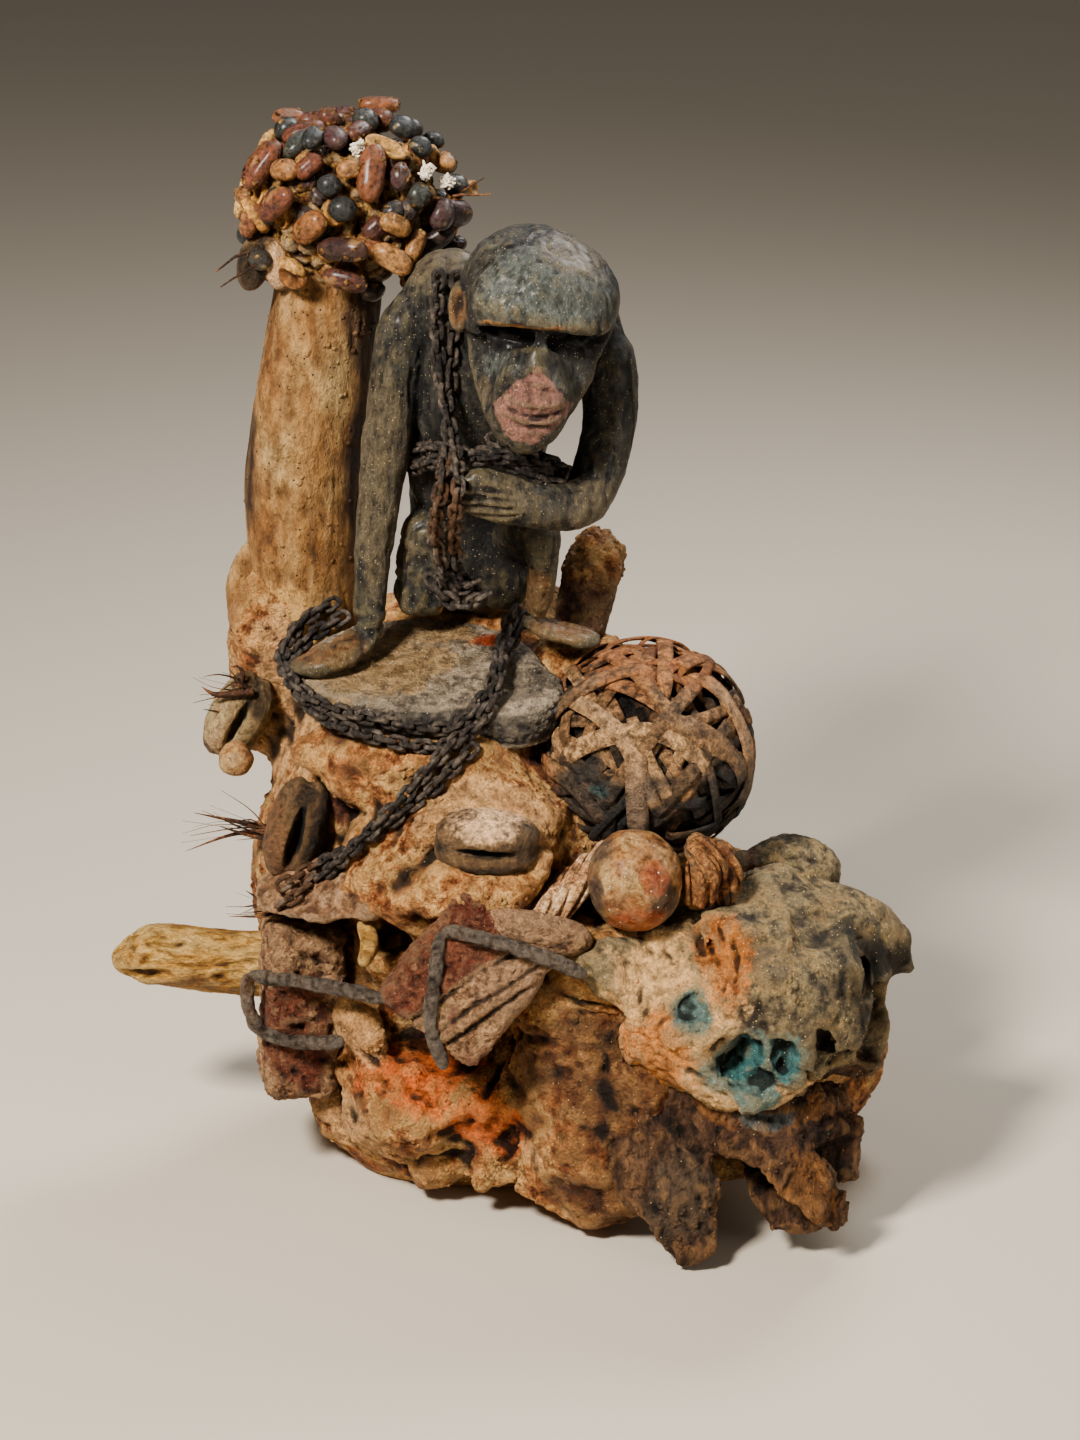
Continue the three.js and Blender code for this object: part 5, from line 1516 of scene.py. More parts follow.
@dataclass
class PlaitedBall:
    """The ball wound from flat dry strips over a dark core."""

    at: Point = (32.0, -36.0, 276.0)
    radius: float = 69.0
    strip: float = 9.0
    flat: float = 0.24
    under: int = 290
    loose: int = 30
    over: tuple[tuple[float, Line], ...] = (
        (12, ((-62, -22), (-44, 0), (-15, 11), (-2, 12), (14, 8), (32, -8), (38, -34))),
        (10, ((-36, -46), (-16, -16), (8, 16), (24, 34), (36, 48))),
        (14, ((-7, 10), (-7, -18), (-5, -46), (-4, -58))),
        (11, ((56, 24), (38, 2), (16, -24), (-4, -46))),
        (12, ((2, 24), (16, 17), (36, 10), (54, -8), (60, -28))),
        (13, ((22, 50), (44, 34), (58, 8), (60, -20), (50, -42))),
        (12, ((-64, -6), (-52, -14), (-36, -30), (-20, -50))),
        (12, ((-63, 12), (-50, 28), (-34, 39), (-10, 48), (12, 45))),
        (11, ((-56, 36), (-30, 22), (-14, 6), (-2, -20), (10, -46))),
        (10, ((-44, -50), (-14, -62), (16, -64), (46, -50))),
        (9, ((-20, 60), (4, 34), (22, 14), (46, -2), (66, -6))),
    )

    def strip_path(self, strands: Strands, spots: Array, out: Array, width: float, tone: float) -> None:
        """Adds a strip whose ends tuck under the others."""
        share = np.linspace(0, 1, len(spots))
        tucked = 1 - step_between(np.minimum(share, 1 - share), 0.0, 0.16)
        wave = 0.9 * fractal(spots, 17, 2, 0.5, 9)
        strands.add(spots + out * (wave - 7 * tucked)[:, None], out=out, tone=tone,
                    width=width * (1 - 0.3 * tucked + 0.12 * wave))

    def strips(self) -> Strands:
        """The strips in view, over many strips that go round the ball at all angles."""
        rng = np.random.default_rng(5)
        strands = Strands()
        for i in range(self.under + self.loose):
            axis, start = rng.normal(size=3), rng.normal(size=3)
            axis /= np.linalg.norm(axis)
            start -= axis * (start @ axis)
            start /= np.linalg.norm(start)
            angle = np.linspace(0, rng.uniform(0.5, 1.5), 18)[:, None]
            tilt = rng.uniform(-0.5, 0.5)
            out = (np.cos(angle) * start + np.sin(angle) * np.cross(axis, start)) * math.cos(tilt)
            out += axis * math.sin(tilt)
            high = self.radius - 8.0 + 8.0 * i / self.under
            self.strip_path(strands, self.at + out * high, out, self.strip * rng.uniform(0.6, 1.2),
                            rng.uniform())
        for i, (width, line) in enumerate(self.over):
            flat = smooth_path([(a, b, 0) for a, b in line], np.linspace(0, 1, 20))
            both = [on_ball(self.at, (self.radius,) * 3, a, b, 0.4 + 0.6 * (i % 3)) for a, b, _ in flat]
            self.strip_path(strands, np.array([b[0] for b in both]), np.array([b[1] for b in both]), width,
                            rng.uniform(0.2, 0.9))
        return strands

    def build(self) -> None:
        """Winds the ball."""
        Carving("ball_core", PLAIT_CORE, "plaited_ball", [Lump(self.at, (self.radius - 9,) * 3)], step=2.4,
                layers=(waves(3, 18), knobs(2, 9))).build()
        mesh = sweep_tree("wound_strips", PLAIT).run(self.strips(), Flatness=self.flat, Sides=8,
                                                     Step=2.6 * MM)
        spots = corners(mesh)
        worn = 0.8 * fractal(spots, 9, 3, 0.6, 3)
        spots -= self.at
        high = np.linalg.norm(spots, axis=1)
        spots = spots * (1 + 0.6 * worn / high)[:, None] + self.at
        mesh.vertices.foreach_set("co", (spots * MM).astype(np.float32).ravel())
        # Painted shade on the strips lying deeper and a painted highlight on the outermost ones
        note(mesh, hollow=0.9 - 0.9 * step_between(high, self.radius - 9, self.radius - 2),
             proud=0.7 * step_between(high, self.radius, self.radius + 5),
             orange=zone(spots, (((40, -30, 334), (60, 60, 30)), ((-34, -60, 260), (24, 50, 30))), 0.5),
             grey=zone(spots, (((76, -70, 250), (34, 60, 50)), ((20, -100, 262), (40, 20, 40)),
                               ((-6, -96, 262), (46, 24, 34))), 0.7),
             teal=zone(spots, (((4, -98, 276), (9, 9, 5)),), 0.2))
        hand_over("wound_strips", mesh, PLAIT)


@dataclass
class Offerings:
    """The smaller things bound to the mound: gourd, fibre, pods, shell, stub and peg."""

    knot: tuple[Limb, ...] = (
        Limb(((60, -120, 212), (66, -124, 236), (60, -112, 252)), (11, 13, 9)),
        Limb(((76, -116, 210), (79, -116, 230), (72, -104, 246)), (8, 9, 7)),
    )
    strands: tuple[Limb, ...] = tuple(
        Limb(((10 - 11 * i, -92 - 6 * i, 240 - 6 * i), (-10 - 11 * i, -122 - 4 * i, 222 - 6 * i),
              (-30 - 9 * i, -128, 196 - 4 * i)), (7, 9, 6)) for i in range(3))
    pods: tuple[tuple[str, Point, Point, Point, float, float, tuple[tuple[str, Point, Point], ...]], ...] = (
        # The front pod's lower half is darkened as painted shade
        ("split_pod_front", (-64, -122, 253), (31, 20, 19), (0, 4, 0), 50, 5,
         (("tan", (0, 0, 12), (28, 30, 12)), ("underside_shade", (0, -8, -15), (32, 24, 10)))),
        ("split_pod_side", (-181, -50, 230), (33, 19, 18), (0, -74, 0), 52, 7,
         (("brown", (-10, 0, 0), (14, 30, 34)), ("dark", (11, 0, 0), (14, 30, 34)))),
        ("shell_nut", (-220, 16, 278), (29, 19, 18), (0, -62, 0), 44, 6,
         (("grey", (0, 0, 0), (30, 30, 30)), ("tan", (-8, 0, 0), (18, 30, 28)),
          ("dark", (12, 0, 12), (8, 30, 12)))),
    )

    def fibres(self, node: str, name: str, cores: Sequence[Limb], count: int, width: float,
               finish: Finish) -> None:
        """Twists a number of strands of a given width round each of a bundle's cores."""
        strands = Strands()
        for core, i in product(cores, range(count)):
            middle, radius, side, out = core.frames()
            turn = 2 * math.pi * i / count + np.linspace(0, 2.2, len(middle)) + 0.4 * math.sin(5 * i)
            turn = turn[:, None]
            around = np.cos(turn) * side + np.sin(turn) * out
            spots = middle + around * (radius * (0.82 + 0.14 * math.sin(3 * i)))[:, None]
            strands.add(spots, out=around, width=width * (0.5 + 0.5 * np.clip(radius / radius.max(), 0, 1)))
        cores = [replace(core, radii=[0.72 * r for r in core.radii]) for core in cores]
        Carving(name + "_core", finish, node, cores, blend=3, step=1.5,
                layers=(cracks(1.4, 7), waves(1, 9))).build()
        mesh = sweep_tree(name, finish).run(strands, Step=2 * MM, Flatness=0.7)
        note(mesh, hollow=np.clip(0.1 + fractal(corners(mesh), 7, 3, 0.6, 2), 0, 1))
        hand_over(name, mesh, finish)

    def pod(self, node: str, at: Point, size: Point, turn: Point, length: float, width: float,
            marks: tuple[tuple[str, Point, Point], ...]) -> None:
        """A pod whose two lips part along a slit that faces the viewer."""
        axes = turning(turn)
        lip = [at + axes @ (x * length, -size[1] * math.sqrt(1 - x * x), 0.0)
               for x in (-0.5, -0.25, 0.0, 0.25, 0.5)]
        slit = Limb(lip, [width * w for w in (0.12, 0.5, 0.62, 0.5, 0.12)], flat=2.6)
        solids = [Lump(at + axes @ (0, 0, s * size[2] * 0.3), (size[0], size[1], size[2] * 0.74), turn, 0.04,
                       s)
                  for s in (-1, 1)]
        places = {mark: ((np.add(at, away), half),) for mark, away, half in marks}
        Carving(node + "_skin", POD, node, solids, [slit], blend=5, edge=1.6, step=1.2, places=places,
                seed=at[2],
                layers=(waves(1.2, 16), waves(0.5, 5))).build()

    def build(self) -> None:
        """Makes the offerings one by one."""
        Carving("gourd", GOURD_RIND, "gourd_ball",
                [Lump((24, -126, 230), (28, 28, 30.8), rough=0.04, seed=5)],
                step=1.3, layers=(waves(0.9, 22), waves(0.5, 6), cracks(0.5, 12)), ragged=0.6,
                places={"dark": (((4, -130, 232), (12, 22, 34)), ((42, -140, 220), (12, 30, 24))),
                        "rust": (((26, -146, 212), (22, 16, 14)), ((36, -146, 240), (10, 14, 12)))}).build()
        self.fibres("fibre_knot", "fibre_ring", self.knot, 11, 5.0, RING_FIBRE)
        self.fibres("fibre_strands", "fibre_hanks", self.strands, 9, 3.6, FIBRE)
        for pod in self.pods:
            self.pod(*pod)
        Carving("small_ball", GOURD_RIND, "small_ball", [Lump((-221, -6, 258), (11, 11, 11), rough=0.06)],
                step=1.1,
                layers=(waves(0.6, 9), waves(0.3, 3))).build()
        stub = Limb(((-196, -14, 120), (-236, -16, 124), (-276, -18, 130), (-299, -18, 126)), (21, 20, 19, 7),
                    cap=0.12)
        chips = [Limb(((-300, -24, 118), (-280, -34, 122), (-262, -38, 124)), (3, 5, 3), samples=10),
                 Lump((-292, -20, 106), (16, 30, 7), (0, 24, 0))]
        Carving("worn_stub", BONE, "bone_stub", [stub], chips, edge=3, step=1.5, seed=4,
                layers=(waves(2.2, 20, (0.5, 1, 1)), cracks(2.2, 13, (0.22, 1, 1)), waves(0.6, 5))).build()
        Carving("bone_peg", BONE, "bone_peg", [Limb(((-138, -112, 196), (-134, -120, 186), (-138, -124, 174)),
                                                    (5, 6, 4))], step=0.9, layers=(waves(0.4, 6),)).build()
        back = [Lump((124, -26, 188), (31, 28, 24), rough=0.06, seed=2), Lump((96, -30, 192), (11, 13, 14))]
        Carving("back_lump", SKULL_CRUST, "back_lump", back, blend=4, step=1.5, seed=8,
                layers=(waves(2, 18), knobs(1.2, 7), cracks(1, 10)),
                places={"brown": (((96, -30, 192), (14, 24, 22)),),
                        "dark": (((136, -40, 180), (20, 20, 20)),)}).build()


@dataclass
class SkullAndJaw:
    """The crusted skull with sockets and a beak, and the pronged jaw below it."""

    domes: tuple[Solid, ...] = (
        Lump((106, -108, 156), (72, 72, 58), (0, 8, 0), 0.08, 71),
        Lump((56, -130, 150), (42, 46, 44), (0, -20, 0), 0.12, 72),
        Lump((92, -154, 128), (44, 32, 30), rough=0.14, seed=73),
        Lump((156, -98, 122), (26, 44, 30), rough=0.18, seed=74),
        Lump((14, -138, 178), (30, 24, 16), (0, 24, 0), 0.16, 75),
        Limb(((144, -94, 186), (170, -86, 174), (184, -82, 160), (191, -80, 149)), (27, 18, 9, 2.5),
             cap=0.05),
    )
    holes: tuple[Lump, ...] = (
        Lump((82, -184, 142), (12, 22, 15), (0, 30, 0), 0.2, 8),
        Lump((90, -188, 132), (15, 16, 11), (0, 20, 0), 0.2, 3),
        Lump((108, -186, 143), (10, 14, 12), (0, -20, 0), 0.25, 9),
        Lump((56, -180, 170), (8, 14, 8)), Lump((134, -176, 146), (5, 14, 12), (0, -30, 0), 0.3, 4),
        Lump((144, -168, 130), (6, 14, 9), (0, 30, 0), 0.3, 5), Lump((124, -182, 126), (5, 12, 7), rough=0.3),
        Lump((182, -132, 134), (33, 36, 30), (0, 24, 0), 0.24, 6), Lump((70, -184, 150), (4, 12, 6)),
        Lump((160, -132, 168), (9, 20, 13), (0, 30, 0), 0.2, 7),
    )
    fissures: tuple[Line, ...] = tuple(
        ((58 + 7 * i, 209 - 2 * i), (62 + 6 * i, 192), (59 + 6 * i, 168)) for i in range(4))
    jaws: tuple[Limb, ...] = (
        Limb(((26, -128, 100), (70, -158, 99), (112, -162, 98), (152, -130, 88)), (12, 14, 14, 12), flat=0.8),
        Limb(((36, -136, 88), (74, -166, 84), (116, -168, 82), (156, -132, 72)), (11, 13, 13, 12), flat=0.8),
        Limb(((40, -146, 96), (42, -158, 66), (50, -172, 40), (58, -184, 16)), (31, 33, 27, 15), flat=0.4,
             cap=0.08),
        Limb(((110, -138, 90), (114, -146, 62), (120, -156, 42), (124, -164, 30)), (24, 28, 26, 19),
             flat=0.36,
             facing=(0.2, -1, 0), cap=0.07),
        Limb(((80, -170, 92), (108, -183, 80), (134, -182, 54), (149, -172, 24)), (13, 17, 17, 9), flat=0.34,
             facing=(0.5, -1, 0.2), cap=0.08),
        Limb(((134, -130, 84), (148, -138, 60), (156, -144, 40)), (20, 17, 8), flat=0.6),
    )
    chips: tuple[Lump, ...] = (
        Lump((22, -186, 12), (14, 30, 20), (0, 24, 0), 0.25, 1),
        Lump((106, -172, 6), (9, 24, 12), rough=0.3, seed=2),
        Lump((122, -172, 2), (7, 24, 9), rough=0.3, seed=3),
        Lump((152, -172, 8), (12, 24, 12), rough=0.3, seed=4),
    )

    def build(self) -> None:
        """Carves the skull and its jaw."""
        form = Form().add(self.domes, 14).cut(self.holes, 4)
        form.cut([Limb(form.front(line, 0.4), (1.4, 2.6, 1.6), samples=14) for line in self.fissures], 2)
        skin = form.skin(1.6).relax(1, 0.3)
        spots = skin.spots.copy()
        skin.spots = warped(spots, 24, 3)
        left = zone(spots, (((56, -160, 150), (46, 60, 70)), ((96, -176, 122), (60, 40, 26))), 0.3, 3)
        skin.push(2.2 * fractal(spots, 26, 3, 0.55, 1) + (0.3 + 0.9 * left) * nodules(spots, 9, 2)
                  - (1.0 + 2.6 * left) * (ridges(spots, 17, 4, 3) - 0.4)
                  + (0.8 + 0.3 * left) * fractal(spots, 5, 3, 0.65, 4))
        skin.note_relief()
        skin.paint(spots, 0.6, pale=(((44, -160, 152), (46, 50, 60)), ((90, -186, 116), (60, 40, 20))),
                   peach=(((36, -160, 136), (30, 50, 40)), ((72, -160, 194), (20, 40, 30))))
        # Painted shade fills the deep recess; the dome's right side is darkened too
        skin.paint(spots, 0.4, brown=(((176, -130, 136), (24, 40, 26)), ((160, -140, 104), (30, 30, 14))),
                   dark=(((152, -120, 160), (40, 50, 44)), ((182, -84, 160), (24, 30, 20)),
                         ((182, -136, 132), (34, 34, 30))))
        skin.paint(spots, 0.5, teal=(((90, -178, 136), (30, 24, 26)), ((110, -182, 140), (20, 20, 22)),
                                     ((56, -176, 168), (10, 16, 13)), ((96, -186, 116), (20, 16, 14))))
        skin.dress("skull_crust", SKULL_CRUST, "skull")
        Carving("jaw_crust", JAW_CRUST, "jaw", self.jaws, self.chips, blend=4, step=1.6, seed=6, ragged=0.8,
                bent=13,
                layers=(waves(2, 22, (1, 1, 0.6)), folds(3.4, 15, (1, 1, 0.3)), waves(1.4, 6), folds(1.4, 6)),
                places={"orange": (((128, -188, 56), (40, 12, 44)), ((100, -160, 98), (60, 30, 10))),
                        "teal": (((96, -186, 100), (40, 20, 9)),), "grey": (((50, -176, 34), (30, 20, 40)),),
                        # The dark patch is painted shade in the middle of the jaw
                        "dark": (((96, -150, 50), (26, 22, 40)),)}).build()


@dataclass
class Packets:
    """Two wrapped packets, the bar and the rods that bind them, and the flap of hide above."""

    at: Point = (-74.0, -143.0, 177.0)
    half: Point = (36.3, 27.0, 42.1)
    turn: Point = (-18.0, 38.0, 0.0)
    grooves: tuple[float, ...] = (1.0, 16.0, 25.0)
    front_rods: tuple[Limb, ...] = (
        Limb(((-90, -160, 214), (-62, -166, 210), (-30, -168, 200), (-4, -164, 186)), (4.4,) * 4),
        Limb(((-90, -160, 214), (-94, -170, 186), (-96, -176, 160), (-88, -172, 128)), (4.4,) * 4),
    )
    side_rods: tuple[Limb, ...] = (
        Limb(((-212, -74, 142), (-186, -88, 146), (-150, -110, 150), (-122, -128, 152)), (4.4,) * 4),
        Limb(((-212, -74, 142), (-212, -78, 124), (-206, -80, 106)), (4.4,) * 3),
        Limb(((-206, -80, 106), (-180, -90, 104), (-152, -100, 110)), (4.4,) * 3),
    )

    def build(self) -> None:
        """Makes the packets, then what binds and covers them."""
        axes = turning(self.turn)
        skin = Form().add([Brick(self.at, self.half, self.turn, 8)]).skin(1.3).relax(1, 0.2)
        spots = skin.spots.copy()
        local = (spots - self.at) @ axes
        across = 0.956 * local[:, 0] - 0.29 * local[:, 2] + 3 * fractal(spots, 24, 3, 0.6, 7)
        groove = np.min([np.abs(across - start) for start in self.grooves], axis=0)
        slats = step_between(across, -4, 0)
        deep = 2.6 + 2.4 * fractal(spots, 20, 2, 0.5, 5)
        skin.push(-deep * (1 - step_between(groove, 0.4, 3.0)) * slats + 2.2 * fractal(spots, 15, 4, 0.6, 2)
                  + (3.0 - 1.6 * slats) * (0.4 - ridges(spots, 9, 3, 3)))
        skin.note_relief(6)
        skin.marks["grey"] = slats * zone(spots, (((-46, -150, 182), (44, 40, 50)),), 0.4)
        skin.marks["resin"] = np.maximum((1 - slats) * step_between(local[:, 0], -60, -20),
                                         zone(spots, (((-58, -160, 138), (34, 40, 16)),), 0.5))
        skin.paint(spots, 0.5, tan=(((-80, -160, 212), (26, 30, 14)),))
        skin.dress("slatted_packet", PACKET, "packet_front")
        Carving("side_packet", PACKET, "packet_side", [Brick((-181, -58, 116), (23, 24, 58), (0, 3, 12), 8)],
                step=1.5, layers=(waves(3, 22), folds(4.5, 16), folds(2, 8), waves(0.8, 4)), seed=3,
                ragged=0.9,
                places={"resin": (((-181, -70, 110), (30, 30, 70)),)}).build()
        bar = Limb(((-86, -142, 212), (-40, -152, 210), (-6, -146, 200)), (10, 12, 11), flat=0.8)
        Carving("packet_bar", PACKET, "packet_bar", [bar], step=1.3, seed=5,
                layers=(waves(1.2, 12, (0.4, 1, 1)), cracks(1.2, 8, (0.25, 1, 1))),
                places={"grey": (((-40, -150, 212), (60, 20, 14)),),
                        "tan": (((-84, -150, 212), (16, 20, 14)),)}
                ).build()
        for name, node, rods in (("front_rods", "binding_front", self.front_rods),
                                 ("side_rods", "binding_side", self.side_rods)):
            Carving(name, ROD, node, rods, blend=2, step=1.1, layers=(waves(1.4, 9), folds(0.8, 6)),
                    places={"rust": (((-212, -76, 124), (12, 12, 26)),)}, seed=2).build()
        flap = Limb(((-196, -58, 196), (-160, -84, 206), (-124, -104, 220), (-84, -112, 236)),
                    (22, 26, 24, 14),
                    flat=0.28, facing=(0.2, -0.6, 0.8))
        # The dark patch is painted shade on the flap's underside, above the cavity
        Carving("hide_flap", HIDE, "hide_flap", [flap], step=1.5, seed=7,
                layers=(waves(3, 22, (0.5, 1, 1)), folds(4, 15, (0.5, 1, 1)), waves(0.6, 5)),
                places={"dark": (((-160, -96, 186), (50, 20, 10)),)}).build()


@dataclass
class Tufts:
    """Tufts of dark quills, some thick and some as fine as hair."""

    roots: dict[str, tuple[Point, tuple[Point, ...]]] = field(default_factory=lambda: {
        "feather_tuft_high": ((-214, 6, 300), ((-238, 0, 306), (-244, 4, 296), (-226, -10, 318))),
        "feather_tuft_middle": ((-196, -30, 218), ((-244, -30, 228), (-252, -34, 214), (-232, -28, 232))),
        "feather_tuft_low": ((-188, -56, 184), ((-222, -60, 186), (-214, -58, 176), (-206, -60, 192))),
    })
    quills: int = 5

    def build(self) -> None:
        """Grows each tuft from its root."""
        rng = np.random.default_rng(3)
        for node, (root, tips) in self.roots.items():
            strands = Strands()
            for i, tip in enumerate([tip for tip in tips for _ in range(self.quills)]):
                start = np.array(root) + rng.normal(0, 2.4, 3)
                length = 1 - 0.5 * (i % self.quills == 1)
                end = start + (np.array(tip) + rng.normal(0, 5, 3) - start) * length
                thick = (6.5, 4.0, 1.6, 0.9, 0.5)[i % self.quills]
                path = smooth_path([start, (start + end) / 2 + rng.normal(0, 4, 3), end],
                                   np.linspace(0, 1, 9))
                out = np.cross(end - start, rng.normal(size=3))
                out /= np.linalg.norm(out)
                strands.add(path, out=np.tile(out, (9, 1)), width=np.linspace(thick, 0.3, 9))
            name = node.replace("feather_", "quill_")
            mesh = sweep_tree(name, FEATHER).run(strands, Sides=4, Flatness=0.6, Step=4 * MM)
            hand_over(name, mesh, FEATHER, node)


@dataclass
class Grit:
    """Crumbs that cling to the crusted pieces, thicker in some places than in others."""

    counts: tuple[tuple[str, Finish, int], ...] = (
        ("mound", CRUST, 5600), ("skull", SKULL_CRUST, 1300), ("jaw", JAW_CRUST, 1100),
        ("slab", SLAB_CRUST, 1300),
        ("stump", CRUST, 260), ("post", POST_WOOD, 500), ("packet_side", PACKET, 300),
        ("packet_front", PACKET, 300),
        ("seed_cluster", RESIN, 700), ("bean", RESIN, 900), ("bead", RESIN, 160),
    )

    def build(self) -> None:
        """Scatters the crumbs, which take the colour of what they lie on."""
        rng = np.random.default_rng(17)
        crumb = Form().add([Lump((0, 0, 0), (1.3, 1.1, 0.9), rough=0.3)]).skin(1.1)
        template = bpy.data.objects.new("crumb", crumb.mesh("crumb"))
        for node, finish, count in self.counts:
            skin = PIECES[node]
            thick = 0.06 + step_between(fractal(skin.spots, 26, 4, 0.6, 4), 0.0, 0.35)
            thick *= skin.spots[:, 2] > 6
            picks = rng.choice(len(thick), count, p=thick / thick.sum())
            size = rng.uniform(0.7, 1.45, (count, 1)) ** 2 * rng.uniform(0.8, 1.2, (count, 3))
            points = Strands().add(skin.spots[picks], False, out=skin.normals()[picks], size=size,
                                   along=rng.normal(size=(count, 3)),
                                   **{mark: value[picks] for mark, value in skin.marks.items()})
            name = node + "_grit"
            hand_over(name, scatter_tree(name, finish).run(points, Template=template), finish)


@dataclass
class Chains:
    """Double strands of small iron links that lie over the monkey and the mound."""

    length: float = 14.6
    width: float = 10.4
    wire: float = 3.4
    apart: float = 5.4
    routes: dict[str, tuple[tuple[Point, ...], ...]] = field(default_factory=lambda: {
        "chain_neck": (((-86, -30, 572), (-88, -44, 540), (-86, -52, 496), (-84, -62, 456), (-88, -78, 428),
                        (-82, -60, 396), (-70, -50, 382)),
                       ((-92, -62, 400), (-80, -66, 388), (-66, -60, 392))),
        "chain_chest": (((-104, -36, 466), (-76, -62, 474), (-44, -66, 474), (-18, -56, 462)),
                        ((-60, -60, 478), (-34, -62, 468), (-16, -54, 456))),
        "chain_slab": (((-160, 4, 352), (-178, -8, 344), (-187, -26, 330), (-168, -60, 316), (-128, -80, 308),
                        (-84, -84, 306), (-64, -70, 322), (-54, -40, 344), (-44, -18, 360)),),
        "chain_slope": (((-78, -86, 300), (-112, -104, 270), (-148, -90, 232), (-188, -70, 196)),),
    })

    def link(self) -> Object:
        """One link: a wire bent to an oval, long along X."""
        bend = (self.width - self.wire) / 2
        half = (self.length - self.wire) / 2 - bend
        angle = np.radians(np.arange(0, 360, 30) + 15)
        middle = np.column_stack([bend * np.cos(angle) + half * np.sign(np.cos(angle)), bend * np.sin(angle),
                                  0 * angle])
        away = np.column_stack([np.cos(angle), np.sin(angle), 0 * angle])
        around = np.radians(np.arange(0, 360, 60))
        rings = [middle + self.wire / 2 * (math.cos(a) * away + math.sin(a) * np.array((0, 0, 1)))
                 for a in around]
        count = len(angle)
        quads = np.array([(i * count + j, i * count + (j + 1) % count, (i + 1) % 6 * count + (j + 1) % count,
                           (i + 1) % 6 * count + j) for i in range(6) for j in range(count)])
        skin = Skin(np.concatenate(rings), quads)
        return bpy.data.objects.new("iron_link", skin.mesh("iron_link"))

    def settled(self, route: Sequence[Point], ground: BVHTree) -> Array:
        """A route moved along the line of sight until it lies on what is behind it."""
        path = smooth_path(route, np.linspace(0, 1, 140))
        hits = [ground.ray_cast(spot + TO_VIEWER * 34, -TO_VIEWER, 80)[0] for spot in path]
        lift = np.array([(np.array(hit) - spot) @ TO_VIEWER if hit else -20 for hit, spot in zip(hits, path)])
        for reach, blended in ((5, np.max), (6, np.mean)):
            padded = np.pad(lift, reach, mode="edge")
            lift = blended([padded[i:i + len(lift)] for i in range(2 * reach + 1)], axis=0)
        return path + TO_VIEWER * (lift + 1.0)[:, None]

    def strand(self, links: Strands, path: Array, phase: float, rng: np.random.Generator) -> None:
        """Lays one strand of links beside a path, twisting slowly round it."""
        along = unit(np.gradient(path, axis=0))
        side = unit(np.cross(along, TO_VIEWER))
        out = np.cross(side, along)
        turn = (phase + run_along(path) / 55)[:, None]
        path = path + self.apart * np.cos(turn) * side + (4.2 + 2.0 * np.sin(turn)) * out
        run = run_along(path)
        places = np.arange(0, run[-1], self.length - 2.05 * self.wire)
        spots, ways, outs = (np.column_stack([np.interp(places, run, values[:, i]) for i in range(3)])
                             for values in (path, np.gradient(path, axis=0), out))
        ways = unit(ways)
        sides = np.cross(ways, outs)
        tilt = np.radians(14 + 90 * (np.arange(len(places)) % 2) + rng.normal(0, 11, len(places)))[:, None]
        links.add(spots, False, out=np.cos(tilt) * outs + np.sin(tilt) * sides, along=ways,
                  size=np.ones((len(spots), 3)) * rng.uniform(0.94, 1.06, (len(spots), 1)))

    def build(self) -> None:
        """Lays every chain on the finished pieces."""
        rng = np.random.default_rng(21)
        spots, quads, total = [], [], 0
        for skin in PIECES.values():
            spots.append(skin.spots)
            quads.append(skin.quads + total)
            total += len(skin.spots)
        ground = BVHTree.FromPolygons(np.concatenate(spots).tolist(), np.concatenate(quads).tolist())
        link = self.link()
        for node, routes in self.routes.items():
            links = Strands()
            for route in routes:
                path = self.settled(route, ground)
                for phase in (0.0, math.pi):
                    self.strand(links, path, phase, rng)
            mesh = scatter_tree(node, IRON).run(links, Template=link)
            places = corners(mesh)
            # Random darker grime, and random lighter patches as painted highlights on the links
            note(mesh, hollow=np.clip(fractal(places, 6, 3, 0.6, 1), 0, 1),
                 proud=np.clip(1.5 * fractal(places, 4, 3, 0.6, 7), 0, 1),
                 rust=zone(places, (((-84, -62, 440), (16, 40, 34)), ((-180, -70, 205), (30, 30, 24))), 0.8))
            hand_over(node.replace("chain_", "iron_chain_"), mesh, IRON, node)


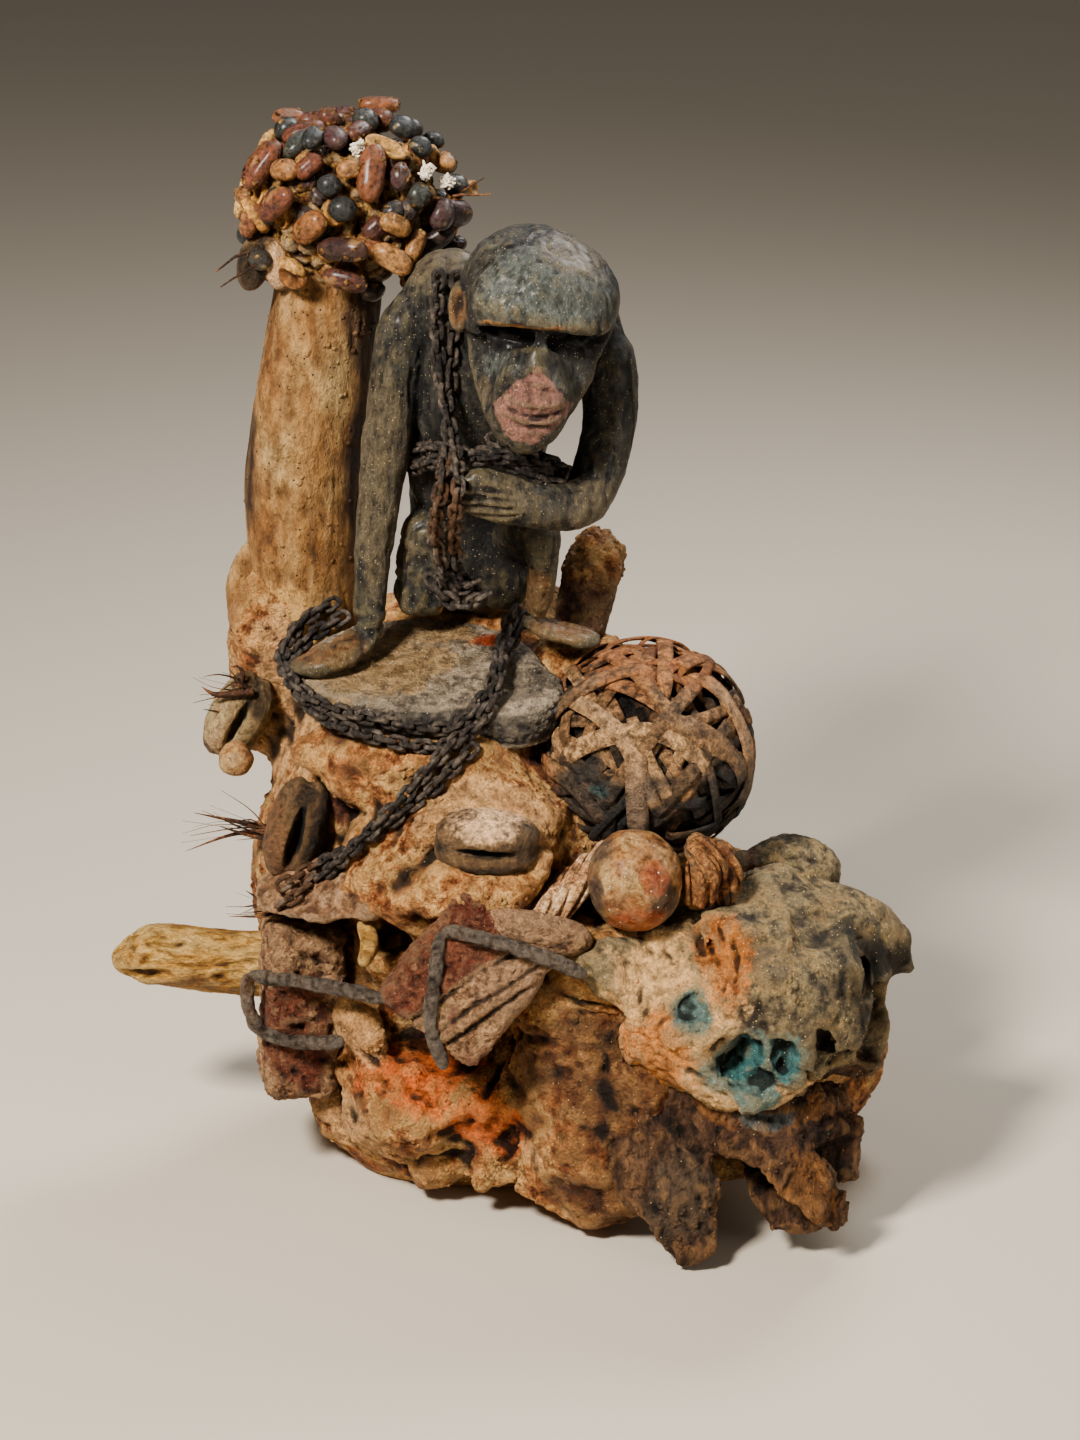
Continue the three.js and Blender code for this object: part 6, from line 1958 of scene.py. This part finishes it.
@dataclass
class Studio:
    """The pale floor, the soft lamps and the camera."""

    target: Point = (-32.0, 0.0, 281.7)
    distance: float = 2200.0
    lens: float = 88.7
    lamps: tuple[tuple[str, Point, float, float, str], ...] = (
        ("key", (-900, -1200, 1700), 0.35, 70, "fff9f2"),
        ("fill", (1400, -1200, 600), 1.0, 9, "fff8f0"),
        ("rim", (500, 900, 1500), 0.6, 18, "ffffff"),
    )

    def build(self) -> None:
        """Sets up the stage."""
        scene = bpy.context.scene
        floor = bpy.data.meshes.new("pale_floor")
        floor.from_pydata([(-8, -4, 0), (8, -4, 0), (8, 12, 0), (-8, 12, 0)], [], [(0, 1, 2, 3)])
        paint = Shader("pale_floor")
        paint.surface.inputs["Base Color"].default_value = linear("c9bfb0")
        paint.surface.inputs["Roughness"].default_value = 0.9
        floor.materials.append(paint.material)
        placed("pale_floor", floor)
        middle = Vector(self.target) * MM
        for name, at, size, power, colour in self.lamps:
            light = bpy.data.lights.new(name, "AREA")
            light.size = size
            light.energy = power
            light.color = linear(colour)[:3]
            lamp = placed(name, light)
            lamp.location = Vector(at) * MM
            lamp.rotation_euler = (middle - lamp.location).to_track_quat("-Z", "Y").to_euler()
        scene.world = bpy.data.worlds.new("soft_room")
        scene.world.use_nodes = True
        scene.world.node_tree.nodes["Background"].inputs[0].default_value = linear("e6e2dc")
        scene.world.node_tree.nodes["Background"].inputs[1].default_value = 0.14
        eye = bpy.data.cameras.new("camera")
        eye.lens = self.lens
        eye.sensor_fit = "VERTICAL"
        eye.sensor_height = 36
        camera = placed("camera", eye)
        camera.location = middle + Vector(TO_VIEWER) * self.distance * MM
        camera.rotation_euler = (math.radians(90) - VIEW_DROP, 0, 0)
        scene.camera = camera
        scene.view_settings.look = "AgX - Medium High Contrast"


def main() -> None:
    """Builds the figure's pieces in order, then the stage."""
    logging.basicConfig(level=logging.INFO, format="%(message)s")
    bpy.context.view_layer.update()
    for part in (Mound(), Post(), Slab(), Monkey(), SeedCluster(), PlaitedBall(), Offerings(), SkullAndJaw(),
                 Packets(), Tufts(), Grit(), Chains(), Studio()):
        part.build()
        LOG.info("built: %s", type(part).__name__)


if __name__ == "__main__":
    main()
